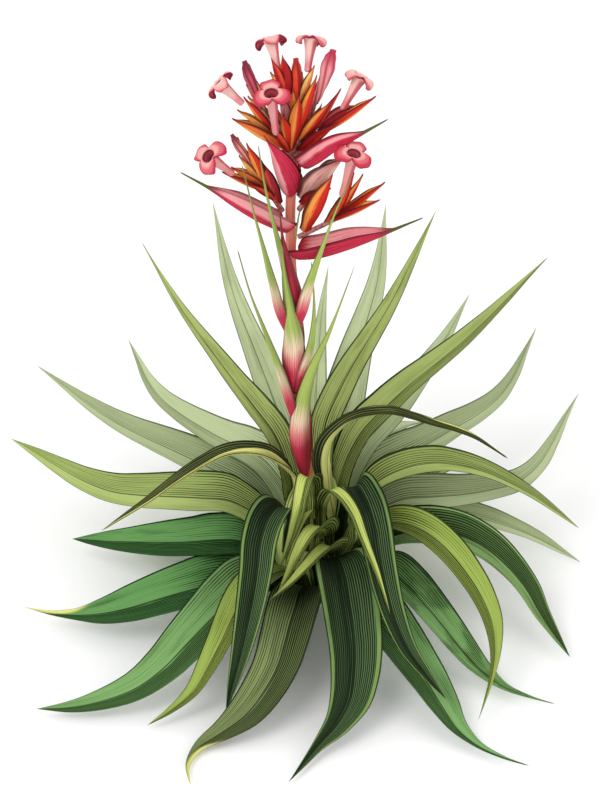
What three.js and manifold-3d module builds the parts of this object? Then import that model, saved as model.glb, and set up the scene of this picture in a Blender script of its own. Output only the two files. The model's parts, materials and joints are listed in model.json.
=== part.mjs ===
// Flowering tillandsia: a rosette of channelled pointed leaves on a short sheathed crown,
// with a leaning flower stalk that carries bracts, spikes and open blooms.
// Millimetres, +Z up. The origin is the middle of the flat spot under the crown; the plant's front is -Y.
// Places are polar: heading in degrees (0 is +X, 90 is the back), reach from the axis, height.
import * as THREE from "three";
import { mergeVertices } from "three/addons/utils/BufferGeometryUtils.js";
import Module from "manifold-3d";

const wasm = await Module();
wasm.setup();

// Colours of the plain meshes
const COLOUR = {
  leaf_pale: 0xb9cfa6,
  leaf_green: 0x7fa45c,
  leaf_emerald: 0x4a9a60,
  leaf_dark: 0x2c4a2c,
  sheath: 0x8fa860,
  scape: 0xd98272,
  primary_bract: 0xcc3c5c,
  floral_bract: 0xd2401f,
  petal: 0xf2b6b2,
};

// Crown: radius by height, a flat spot below and a small flat top for the stalk
const CROWN = [[12, 0], [15.2, 5], [17, 13], [16.8, 23], [14.6, 34], [11.2, 45], [8, 53], [5, 58]];
const CROWN_SECTORS = 30;
const SHEATHS = 5;
const SHEATH_STEP = 0.5;
const SHEATH_RISE = 9;
const SHEATH_INNER = 6;

// Clear space between neighbouring pieces, and the distance at which corners count as one
const GAP = 0.35;
const SAME = 1e-4;
const JOIN_TOLERANCE = 0.04;
const SMALLEST = 0.1;

// Leaves: sections along the length, panels across, thickness and how much of it the tip loses,
// depth of the channel as a share of the width, shares of width and depth at the root, and the
// shares of length over which the leaf grows to its full width and depth
const LEAF_STATIONS = 10;
const YOUNG_STATIONS = 9;
const LONG_STATIONS = 12;
const LEAF_PANELS = 4;
const LEAF_THICK = 1.3;
const LEAF_THINNING = 0.35;
const LEAF_CHANNEL = 0.26;
const ROOT_SHARE = 0.36;
const ROOT_CHANNEL = 0.25;
const WIDTH_REACHED = 0.3;
const CHANNEL_REACHED = 0.2;

// How a leaf narrows: power of the share of length, then power of what is left
const LEAF_TAPER = [1.7, 0.95];
const BROAD_TAPER = [2.6, 0.9];
const LANCE_TAPER = [1.3, 1.1];
const NEEDLE_TAPER = [1, 1.3];

// Flower stalk: its middle line leans to the left as it rises
const STALK_RADIUS = 2;
const STALK_STEPS = 9;
const STALK_SECTORS = 8;
const STALK = [
  [-3, -1, 58.7],
  [-5, -1.5, 75],
  [-8, -2, 98],
  [-9.5, -2, 129],
  [-10, -2, 164],
  [-10, -1, 187],
  [-9, 0, 205],
];

// Bract forms: share of the width at the root, share of length of the belly and of the neck, needle width
const STALK_FORM = [0.55, 0.2, 0.66, 2.2];
const PRIMARY_FORM = [0.82, 0.3, 0.86, 2];
const HOOD_FORM = [0.72, 0.28, 1.1, 1];
const FLORAL_FORM = [0.5, 0.38, 1, 0.9];

// Bracts: channel depth as a share of the width, sections along the length, panels across, thickness
const STALK_BRACT = { channel: 0.45, stations: 8, panels: 4, thick: 1 };
const PRIMARY_BRACT = { channel: 0.55, stations: 9, panels: 4, thick: 1 };
const FLORAL_BRACT = { channel: 0.45, stations: 4, panels: 2, thick: 1.4 };
const BRACT_THINNING = 0.3;
const NEEDLE_POWER = 0.6;

// Floral bracts turn their keels away from a line that stands behind the stalk, and bow outwards:
// place of the line, share of the way at which a bract bows, and by how much of its length
const HEAD_CORE = [-9, 4];
const BOW_PLACE = 0.45;
const BOW_SHARE = 0.05;

// Spike axes and buds
const SPIKE_RADIUS = 1.1;
const SPIKE_STEPS = 3;
const SPIKE_SECTORS = 6;
const BUD_SECTORS = 7;
const BUD_PROFILE = [[0, 0], [0.5, 0.1], [0.75, 0.45], [1, 0.7], [0.8, 0.9], [0, 1]];

// Blooms: half profile as radius and height, from the foot to the bottom of the throat.
// Heights above 0 are measured from the mouth of the shortest bloom
const BLOOM_SECTORS = 15;
const BLOOM_LENGTH = 13;
const BLOOM_PROFILE = [
  [0, 0], [1.2, 0], [2, 10.6], [3.4, 12.3], [5.1, 12.2], [6.1, 11],
  [5.7, 12.4], [4.2, 13.8], [1.9, 12.9], [1.4, 10.6], [0, 9.2],
];

// Lobes: count, radius of the neck that they spread from, how little of a lobe is left in a notch,
// power of the rounding, and how much the lobes roll back
const LOBES = 3;
const LOBE_NECK = 2.6;
const LOBE_NOTCH = 0.3;
const LOBE_ROUND = 0.6;
const LOBE_ROLL = 0.07;

const UP = new THREE.Vector3(0, 0, 1);

// Unit vector that points away from the axis at a heading
function headingVector(heading) {
  const angle = THREE.MathUtils.degToRad(heading);
  return new THREE.Vector3(Math.cos(angle), Math.sin(angle), 0);
}

// Vector from a list of three numbers
function vector(numbers) {
  return new THREE.Vector3(...numbers);
}

// Point from heading, reach and height
function polar([heading, reach, height]) {
  return headingVector(heading).multiplyScalar(reach).setZ(height);
}

// Radius of the crown at a height, by straight lines between its profile points
function crownRadius(height) {
  for (let i = 1; i < CROWN.length; i += 1) {
    const [r0, z0] = CROWN[i - 1];
    const [r1, z1] = CROWN[i];
    if (height <= z1) return THREE.MathUtils.mapLinear(height, z0, z1, r0, r1);
  }
  return CROWN[CROWN.length - 1][0];
}

// Signed volume, positive when the triangles face outwards
function signedVolume(geometry) {
  const place = geometry.getAttribute("position");
  const index = geometry.getIndex();
  const corner = [new THREE.Vector3(), new THREE.Vector3(), new THREE.Vector3()];
  let total = 0;
  for (let i = 0; i < index.count; i += 3) {
    corner.forEach((c, k) => c.fromBufferAttribute(place, index.getX(i + k)));
    total += corner[0].dot(corner[1].clone().cross(corner[2])) / 6;
  }
  return total;
}

// Closed geometry with shared vertices only, no flat triangles, facing outwards
function closed(geometry) {
  geometry.deleteAttribute("normal");
  geometry.deleteAttribute("uv");
  const merged = mergeVertices(geometry, SAME);
  const index = merged.getIndex();
  const kept = [];
  for (let i = 0; i < index.count; i += 3) {
    const [a, b, c] = [index.getX(i), index.getX(i + 1), index.getX(i + 2)];
    if (a !== b && b !== c && c !== a) kept.push(a, b, c);
  }
  merged.setIndex(kept);
  if (signedVolume(merged) < 0) merged.setIndex(kept.reverse());
  return merged;
}

// Solid for joining
function toSolid(geometry) {
  const whole = closed(geometry);
  const vertProperties = new Float32Array(whole.getAttribute("position").array);
  const triVerts = new Uint32Array(whole.getIndex().array);
  return new wasm.Manifold(new wasm.Mesh({ numProp: 3, vertProperties, triVerts }));
}

// Several overlapping geometries joined to one closed geometry, with pinholes between them filled
function joined(geometries) {
  const whole = geometries.map(toSolid).reduce((sum, next) => sum.add(next)).simplify(JOIN_TOLERANCE);
  const bodies = whole.decompose().filter((body) => body.volume() > SMALLEST);
  const mesh = wasm.Manifold.union(bodies).getMesh();
  const geometry = new THREE.BufferGeometry();
  geometry.setAttribute("position", new THREE.Float32BufferAttribute(mesh.vertProperties, 3));
  geometry.setIndex(Array.from(mesh.triVerts));
  return geometry;
}

// Blade: a closed body along a midrib with a channelled lens section and one point at the tip.
// Both faces are split into triangles alike. width, rise and thick are functions of the share of length.
function blade({ curve, side, width, rise, thick, roll, stations, panels }) {
  const points = [];
  const rows = [];
  const across = side.clone();
  for (let i = 0; i < stations; i += 1) {
    const share = i / stations;
    const centre = curve.getPointAt(share);
    const along = curve.getTangentAt(share);
    across.addScaledVector(along, -across.dot(along)).normalize();
    const turned = across.clone().applyAxisAngle(along, roll(share));
    const above = along.clone().cross(turned);
    const row = { top: [], under: [] };
    for (let j = 0; j <= panels; j += 1) {
      const s = (2 * j) / panels - 1;
      const lift = rise(share) * width(share) * s * s;
      const half = (thick(share) / 2) * (1 - s * s);
      const spot = centre.clone().addScaledVector(turned, (s * width(share)) / 2);
      row.top.push(points.push(spot.clone().addScaledVector(above, lift + half)) - 1);
      const edge = j === 0 || j === panels;
      row.under.push(edge ? row.top[j] : points.push(spot.addScaledVector(above, lift - half)) - 1);
    }
    rows.push(row);
  }
  const tip = points.push(curve.getPointAt(1)) - 1;
  const faces = [];
  for (let j = 0; j < panels; j += 1) {
    const [first, last] = [rows[0], rows[stations - 1]];
    faces.push(first.top[j], first.top[j + 1], first.under[j + 1]);
    faces.push(first.top[j], first.under[j + 1], first.under[j]);
    faces.push(last.top[j], tip, last.top[j + 1], last.under[j + 1], tip, last.under[j]);
    for (let i = 0; i + 1 < stations; i += 1) {
      const [a, b] = [rows[i], rows[i + 1]];
      faces.push(a.top[j], b.top[j], b.top[j + 1], a.top[j], b.top[j + 1], a.top[j + 1]);
      faces.push(a.under[j], b.under[j + 1], b.under[j], a.under[j], a.under[j + 1], b.under[j + 1]);
    }
  }
  const geometry = new THREE.BufferGeometry().setFromPoints(points);
  geometry.setIndex(faces);
  return closed(geometry);
}

// Smooth curve through points
function through(points) {
  return new THREE.CatmullRomCurve3(points, false, "centripetal");
}

// Leaf that stands off the crown by the gap and follows its way points to the tip
function leaf({ root, way, width, roll = [0, 0], taper = LEAF_TAPER, stations = LEAF_STATIONS }) {
  const [heading, height] = root;
  const out = headingVector(heading);
  const spot = polar([heading, crownRadius(height), height]);
  const slope = (crownRadius(height + 1) - crownRadius(height - 1)) / 2;
  const normal = out.clone().addScaledVector(UP, -slope).normalize();
  const lean = polar(way[0]).sub(spot).normalize();
  const tilt = Math.sqrt(Math.max(1 - lean.dot(normal) ** 2, 0));
  const seat = spot.addScaledVector(normal, GAP + (LEAF_THICK / 2) * tilt);
  const curve = through([seat, ...way.map(polar)]);
  return blade({
    curve,
    side: UP.clone().cross(out),
    width: (t) => {
      const grown = THREE.MathUtils.lerp(ROOT_SHARE, 1, THREE.MathUtils.smoothstep(t, 0, WIDTH_REACHED));
      return width * grown * (1 - t ** taper[0]) ** taper[1];
    },
    rise: (t) => {
      const deepened = THREE.MathUtils.smoothstep(t, 0, CHANNEL_REACHED);
      return LEAF_CHANNEL * THREE.MathUtils.lerp(ROOT_CHANNEL, 1, deepened);
    },
    thick: (t) => LEAF_THICK * (1 - LEAF_THINNING * t),
    roll: (t) => THREE.MathUtils.degToRad(THREE.MathUtils.lerp(roll[0], roll[1], t)),
    stations,
    panels: LEAF_PANELS,
  });
}

// Bract: a keeled blade that swells over what it grows from and narrows to a needle.
function bract({ points, side, width, form, channel, stations, panels, thick }) {
  const [root, belly, neck, needle] = form;
  return blade({
    curve: through(points),
    side,
    width: (t) => {
      const swell = THREE.MathUtils.lerp(root, 1, THREE.MathUtils.smoothstep(t, 0, belly));
      const body = width * swell * (1 - THREE.MathUtils.smoothstep(t, belly, neck));
      return Math.max(body, needle * (1 - t) ** NEEDLE_POWER);
    },
    rise: () => channel,
    thick: (t) => thick * (1 - BRACT_THINNING * t),
    roll: () => 0,
    stations,
    panels,
  });
}

// Round rod of one radius along a curve
function rod(points, radius, steps, sectors) {
  const ring = new THREE.EllipseCurve(0, 0, radius, radius).getPoints(sectors).slice(0, sectors);
  return new THREE.ExtrudeGeometry(new THREE.Shape(ring), { steps, extrudePath: through(points) });
}

// Turned body set with its axis from a foot towards an aim
function turned(profile, sectors, foot, aim) {
  const geometry = new THREE.LatheGeometry(profile.map(([r, h]) => new THREE.Vector2(r, h)), sectors);
  const axis = aim.clone().sub(foot).normalize();
  const turn = new THREE.Quaternion().setFromUnitVectors(new THREE.Vector3(0, 1, 0), axis);
  return geometry.applyQuaternion(turn).translate(foot.x, foot.y, foot.z);
}

// Crown: turned body whose surface steps in and out like overlapping leaf sheaths
function crown() {
  const profile = [new THREE.Vector2(0, 0)];
  CROWN.forEach(([r, z]) => profile.push(new THREE.Vector2(r, z)));
  profile.push(new THREE.Vector2(0, CROWN[CROWN.length - 1][1]));
  const geometry = new THREE.LatheGeometry(profile, CROWN_SECTORS).rotateX(Math.PI / 2);
  const place = geometry.getAttribute("position");
  for (let i = 0; i < place.count; i += 1) {
    const [x, y, z] = [place.getX(i), place.getY(i), place.getZ(i)];
    const winding = (SHEATHS * Math.atan2(y, x)) / (2 * Math.PI) + z / SHEATH_RISE;
    const share = Math.hypot(x, y) < SHEATH_INNER ? 0 : (winding - Math.floor(winding)) * SHEATH_STEP;
    const scale = 1 - share / Math.max(Math.hypot(x, y), 1);
    if (z > 1) place.setXY(i, x * scale, y * scale);
  }
  return closed(geometry);
}

// Bloom: a tube that opens into three lobes, which spread from its neck and roll back
function bloom({ foot, aim, length = BLOOM_LENGTH, spin = 0, roll = 1, spread = 1 }) {
  const profile = BLOOM_PROFILE.map(([r, h]) => [r, h > 0 ? h - BLOOM_LENGTH + length : 0]);
  const geometry = turned(profile, BLOOM_SECTORS, new THREE.Vector3(), new THREE.Vector3(0, 1, 0));
  const place = geometry.getAttribute("position");
  for (let i = 0; i < place.count; i += 1) {
    const [x, y, z] = [place.getX(i), place.getY(i), place.getZ(i)];
    const reach = Math.hypot(x, z);
    const past = Math.max(reach - LOBE_NECK, 0);
    const full = Math.abs(Math.sin((LOBES / 2) * Math.atan2(x, z))) ** LOBE_ROUND;
    const kept = spread * past * THREE.MathUtils.lerp(LOBE_NOTCH, 1, full);
    const scale = past > 0 ? (LOBE_NECK + kept) / reach : 1;
    place.setXYZ(i, x * scale, y - roll * LOBE_ROLL * kept * kept, z * scale);
  }
  const from = new THREE.Vector3(...foot);
  const axis = new THREE.Vector3(...aim).sub(from).normalize();
  const turn = new THREE.Quaternion().setFromUnitVectors(new THREE.Vector3(0, 1, 0), axis);
  return closed(geometry.rotateY(spin).applyQuaternion(turn).translate(from.x, from.y, from.z));
}

// Spike: thin axes with keeled floral bracts and closed buds, each set by its root, its tip and its girth
function spike({ axes, bracts, buds = [] }) {
  const parts = axes.map((points) => rod(points.map(vector), SPIKE_RADIUS, SPIKE_STEPS, SPIKE_SECTORS));
  bracts.forEach(([root, tip, width]) => {
    const [start, end] = [vector(root), vector(tip)];
    const reach = end.clone().sub(start);
    const middle = start.clone().lerp(end, 0.5);
    const out = new THREE.Vector3(middle.x - HEAD_CORE[0], middle.y - HEAD_CORE[1], 0).normalize();
    const bow = start.clone().addScaledVector(reach, BOW_PLACE);
    bow.addScaledVector(out, BOW_SHARE * reach.length());
    const side = UP.clone().cross(out);
    parts.push(bract({ points: [start, bow, end], side, width, form: FLORAL_FORM, ...FLORAL_BRACT }));
  });
  buds.forEach(([root, tip, radius]) => {
    const [from, to] = [vector(root), vector(tip)];
    const profile = BUD_PROFILE.map(([r, h]) => [r * radius, h * from.distanceTo(to)]);
    parts.push(turned(profile, BUD_SECTORS, from, to));
  });
  return joined(parts);
}

// Rosette leaves. root: heading and height on the crown; way: heading, reach, height
const LEAVES = {
  leaf_low_left_1: {
    root: [186, 16],
    way: [[190, 32, 27], [184, 56, 25], [175, 82, 17], [170, 104, 10]],
    width: 23.5, roll: [-10, -30], slot: "leaf_emerald",
  },
  leaf_low_left_2: {
    root: [206, 8],
    way: [[209, 36, 16], [207, 60, 17.6], [201, 90, 11], [196, 108, 8], [194, 123, 12]],
    width: 27.5, roll: [-10, -30], slot: "leaf_emerald",
  },
  leaf_low_left_3: {
    root: [226, 15],
    way: [[230, 34, 26], [231, 68, 23], [228, 102, 10], [222, 124, 5], [218, 140, 6]],
    width: 27, roll: [0, -20], slot: "leaf_green",
  },
  leaf_low_left_4: {
    root: [241, 18],
    way: [[240, 30, 27], [240, 57, 33], [241, 79, 24], [239, 97, 10], [234, 113, 2]],
    width: 18, slot: "leaf_green",
  },
  leaf_front_left_1: {
    root: [230, 39],
    way: [[232, 22, 54], [240, 42, 57], [247, 62, 45], [248, 78, 25], [248, 95, 6]],
    width: 16, taper: BROAD_TAPER, slot: "leaf_dark",
  },
  leaf_front_left_2: {
    root: [259, 9],
    way: [
      [259, 28, 20], [260, 56, 26], [258, 82, 17], [252, 99, 6],
      [247, 110, 2.5], [246, 122, 2], [249, 135, 2],
    ],
    width: 22, taper: BROAD_TAPER, slot: "leaf_dark", stations: LONG_STATIONS,
  },
  leaf_front_1: {
    root: [284, 24],
    way: [[286, 32, 37], [283, 56, 36], [281, 78, 20], [277, 93, 10], [270, 107, 4], [265, 125, 2]],
    width: 25, taper: BROAD_TAPER, slot: "leaf_dark", stations: LONG_STATIONS,
  },
  leaf_front_right_1: {
    root: [302, 8],
    way: [[299, 32, 18], [298, 62, 20], [300, 90, 10], [300, 113, 4], [302, 127, 2.5], [305, 143, 4]],
    width: 25, slot: "leaf_green", stations: LONG_STATIONS,
  },
  leaf_front_right_2: {
    root: [322, 15],
    way: [[322, 34, 26], [317.5, 60, 21], [317, 87, 6], [317, 103, 3], [319, 125, 5]],
    width: 20, roll: [0, 10], slot: "leaf_green",
  },
  leaf_front_right_3: {
    root: [318, 38],
    way: [[318, 22, 62], [303, 41, 60], [296, 61, 45], [296, 80, 27], [301, 99, 10]],
    width: 15, taper: BROAD_TAPER, slot: "leaf_dark",
  },
  leaf_front_right_4: {
    root: [281, 46],
    way: [[279, 19, 58], [284, 27, 68], [290, 39, 67], [292, 50, 58], [293, 62, 49], [293, 74, 39]],
    width: 8, slot: "leaf_green",
  },
  leaf_front_right_5: {
    root: [338, 24],
    way: [[336, 32, 42], [329, 56, 46], [324, 84, 28], [317, 97, 17], [310, 105, 10], [304, 113, 6]],
    width: 17, roll: [0, 15], slot: "leaf_green", stations: LONG_STATIONS,
  },
  leaf_low_right_1: {
    root: [357, 15],
    way: [[356, 34, 28], [352.6, 62, 30.8], [348, 84, 18], [340, 99, 8], [333, 115, 4]],
    width: 22.5, roll: [10, 25], slot: "leaf_dark",
  },
  leaf_side_left_1: {
    root: [168, 25],
    way: [[168, 33, 37], [171, 60, 38.4], [172, 88, 40], [167, 130, 54]],
    width: 24, roll: [-10, -30], slot: "leaf_green",
  },
  leaf_side_left_2: {
    root: [212, 51],
    way: [
      [208, 11, 62], [206, 15.5, 67], [193, 22.5, 71], [188, 35.5, 71],
      [190, 51.5, 64.5], [192, 68.5, 54.5], [193, 89, 43.5],
    ],
    width: 12, roll: [-10, -30], slot: "leaf_dark", stations: LONG_STATIONS,
  },
  leaf_side_right_1: {
    root: [2, 32],
    way: [[2, 23, 50], [5, 42, 59], [9, 64, 53], [8, 88, 39], [1, 109, 28]],
    width: 17, roll: [10, 30], slot: "leaf_green",
  },
  leaf_side_right_2: {
    root: [305, 53],
    way: [
      [298, 9, 64], [299, 9, 74], [321, 10.5, 83], [346, 16, 87.5],
      [358, 29, 88.5], [1, 46, 82], [2, 62.5, 75], [3, 78.5, 62],
    ],
    width: 15, roll: [15, 50], slot: "leaf_dark", stations: LONG_STATIONS,
  },
  leaf_back_left_1: {
    root: [146, 23],
    way: [[146, 34, 35], [147, 64, 40], [149, 100, 47], [147, 142, 58]],
    width: 27, roll: [-5, -10], taper: LANCE_TAPER, slot: "leaf_pale",
  },
  leaf_back_left_2: {
    root: [127, 33],
    way: [[130, 30, 45], [137.5, 62, 49], [139, 88, 56], [134, 115, 68]],
    width: 23.5, roll: [-5, -10], taper: LANCE_TAPER, slot: "leaf_pale",
  },
  leaf_back_left_3: {
    root: [109, 24],
    way: [[107, 30, 42.6], [109.5, 64, 64], [111, 98, 86], [108, 144, 104]],
    width: 20, taper: LANCE_TAPER, slot: "leaf_pale",
  },
  leaf_back_1: {
    root: [92, 36],
    way: [[91, 26, 52], [89, 58, 70], [88, 86, 80], [87, 114, 86]],
    width: 13, taper: LANCE_TAPER, slot: "leaf_pale",
  },
  leaf_back_2: {
    root: [75, 24],
    way: [[77, 32, 40], [77, 74, 62], [76, 112, 81], [78, 151, 96]],
    width: 25, taper: LANCE_TAPER, slot: "leaf_pale",
  },
  leaf_back_right_1: {
    root: [59, 33],
    way: [[58, 30, 47], [56, 62, 54], [57, 98, 63], [59, 131, 72]],
    width: 23, taper: LANCE_TAPER, slot: "leaf_pale",
  },
  leaf_back_right_2: {
    root: [43, 29],
    way: [[43, 34, 40], [39, 66, 45], [38, 100, 53], [43, 130, 70]],
    width: 25, roll: [5, 10], taper: LANCE_TAPER, slot: "leaf_pale",
  },
  leaf_back_right_3: {
    root: [24, 22],
    way: [[23, 34, 32.4], [15, 64, 34.4], [16, 92, 37], [27, 125, 58]],
    width: 24, roll: [10, 25], taper: LANCE_TAPER, slot: "leaf_pale",
  },
  leaf_low_right_2: {
    root: [24, 9],
    way: [[24, 36, 18], [20, 62, 20], [13, 88, 13], [5, 112, 4]],
    width: 18, roll: [10, 25], slot: "leaf_pale",
  },
  leaf_upper_left: {
    root: [147, 45],
    way: [[148, 18, 66], [145, 40, 86], [140, 72, 107], [133, 106, 120]],
    width: 20.5, roll: [-5, -10], taper: NEEDLE_TAPER, slot: "leaf_green",
  },
  leaf_upper_right_1: {
    root: [78, 45],
    way: [[80, 20, 66], [68, 34, 84], [58, 58, 108], [59, 98, 132]],
    width: 15.5, roll: [0, 5], taper: LANCE_TAPER, slot: "leaf_green",
  },
  leaf_upper_right_2: {
    root: [44, 42],
    way: [[44, 22, 62], [39, 44, 77], [37, 78, 92], [41, 130, 108]],
    width: 19, roll: [0, 5], taper: LANCE_TAPER, slot: "leaf_green",
  },
  leaf_young_1: {
    root: [260, 44],
    way: [[257, 18, 51], [253, 23, 49], [249.5, 28, 40], [247, 32, 32]],
    width: 8, slot: "leaf_green", stations: YOUNG_STATIONS,
  },
  leaf_young_2: {
    root: [266, 52],
    way: [[266, 13, 63], [258.5, 20, 68.7], [257.5, 27.5, 62], [252.5, 32.5, 48.5], [247, 37, 35.5]],
    width: 9.5, slot: "leaf_green", stations: YOUNG_STATIONS,
  },
  leaf_young_3: {
    root: [284, 36],
    way: [
      [284, 21, 43], [276, 26.5, 50.5], [267, 33, 51.5],
      [260.5, 39, 46], [255.5, 44.5, 38], [251, 49.5, 30.5],
    ],
    width: 13, slot: "leaf_green", stations: YOUNG_STATIONS,
  },
  leaf_young_4: {
    root: [316, 26],
    way: [[315, 22, 36], [311, 23.5, 44], [308, 25, 51]],
    width: 13.5, slot: "leaf_green", stations: YOUNG_STATIONS,
  },
  leaf_young_5: {
    root: [290, 28],
    way: [
      [289, 27, 39.5], [278, 34.5, 45], [268.5, 41.5, 44.3],
      [261.5, 48, 41.2], [256, 53.5, 38.3], [251, 58.5, 35],
    ],
    width: 13.5, slot: "leaf_green", stations: YOUNG_STATIONS,
  },
};

// Hidden leaves at the back that complete the rosette
const BACK_LEAVES = {
  leaf_hidden_1: {
    root: [43, 9],
    way: [[45, 36, 18], [47, 66, 18], [48, 92, 11], [49, 112, 3]],
    width: 17, slot: "leaf_green",
  },
  leaf_hidden_2: {
    root: [67, 12],
    way: [[67, 36, 23], [67, 68, 26], [67, 98, 16], [66, 122, 4]],
    width: 18, slot: "leaf_green",
  },
  leaf_hidden_3: {
    root: [91, 9],
    way: [[91, 36, 19], [92, 68, 20], [93, 96, 12], [94, 118, 3]],
    width: 20, slot: "leaf_green",
  },
  leaf_hidden_4: {
    root: [115, 12],
    way: [[115, 36, 23], [116, 68, 26], [117, 96, 17], [118, 120, 4]],
    width: 18, slot: "leaf_green",
  },
  leaf_hidden_5: {
    root: [139, 9],
    way: [[139, 36, 19], [141, 64, 20], [143, 90, 12], [144, 110, 3]],
    width: 18, slot: "leaf_green",
  },
  leaf_hidden_6: {
    root: [163, 10],
    way: [[163, 30, 12], [162, 50, 11], [161, 72, 5], [160, 88, 3]],
    width: 14, slot: "leaf_green",
  },
};

// Stalk bracts: points, and the heading that their backs face
const STALK_BRACTS = [
  {
    points: [
      [-4.6, -2.8, 61.5], [-6.5, -6, 78], [-5.5, -8, 94],
      [-2, -9, 112], [5.5, -7, 132], [15, -4, 161],
    ],
    facing: 275, width: 9.5,
  },
  {
    points: [
      [-8.8, -3, 84], [-13, -5, 100], [-15.5, -5.5, 112],
      [-21.5, -5, 133], [-26, -4, 148], [-30.5, -3, 167],
    ],
    facing: 195, width: 7.5,
  },
  {
    points: [
      [-8.2, -3.6, 98], [-9, -7, 115], [-9, -8.5, 128],
      [-10.5, -9.5, 142], [-12.5, -11, 160], [-14, -13, 188],
    ],
    facing: 268, width: 10,
  },
  {
    points: [
      [-6.4, -2.6, 99], [-3, -4, 113], [-1, -3, 123],
      [-0.5, -1, 137], [-2, 4, 157],
    ],
    facing: 345, width: 7.5,
  },
  {
    points: [
      [-10.4, -3, 125], [-15.5, -7, 140], [-18, -11, 156],
      [-21, -18, 178], [-24.5, -20, 197], [-28, -20, 215],
    ],
    facing: 200, width: 7,
  },
  {
    points: [
      [-8, -3.2, 128], [-4, -7, 141], [-1.5, -11, 156],
      [3, -17, 178], [7.5, -19, 195], [13, -19, 209],
    ],
    facing: 330, width: 7,
  },
  {
    points: [
      [-8.8, -3.6, 131], [-9, -6.5, 146], [-11, -9, 162],
      [-13, -13, 178], [-14.5, -15.5, 196],
    ],
    facing: 265, width: 7,
  },
  {
    points: [
      [-10.4, -3, 143], [-13.5, -8, 163], [-16.5, -16, 185],
      [-19.5, -17.5, 203], [-22, -17.5, 222],
    ],
    facing: 220, width: 4.5,
  },
  {
    points: [
      [-4.5, -0.4, 66], [-6, 4, 82], [-7, 7, 98],
      [-9, 11, 120], [-9, 19, 150],
    ],
    facing: 90, width: 9,
  },
  {
    points: [
      [-8.6, -1, 108], [-8.5, 3.4, 124], [-9, 6, 138],
      [-9, 9, 158], [-5, 14, 184],
    ],
    facing: 90, width: 8,
  },
];

// Primary bracts
const PRIMARY_BRACTS = {
  primary_bract_right: {
    points: [[-7.8, -4, 163.5], [1.5, -9, 167.5], [11, -12, 172.5], [21, -13, 177.5], [40.5, -13, 187.5]],
    facing: 330, width: 13,
  },
  primary_bract_left: {
    points: [
      [-12.2, -3.7, 175], [-23, -10, 184.5], [-32, -12.5, 192.5],
      [-40, -13, 199.5], [-51.5, -13, 207.5],
    ],
    facing: 215, width: 12.5,
  },
  primary_bract_front: {
    points: [[-10.4, -4, 191], [-12.8, -10, 203], [-15.8, -12, 213.5], [-20, -12, 223]],
    facing: 258, width: 12, form: HOOD_FORM,
  },
  primary_bract_upper: {
    points: [[-4, -3.2, 203], [1, -9.5, 210], [7.5, -11.5, 216.5], [15.5, -11, 221.5], [26.5, -10, 228.5]],
    facing: 300, width: 10.5,
  },
};

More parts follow.
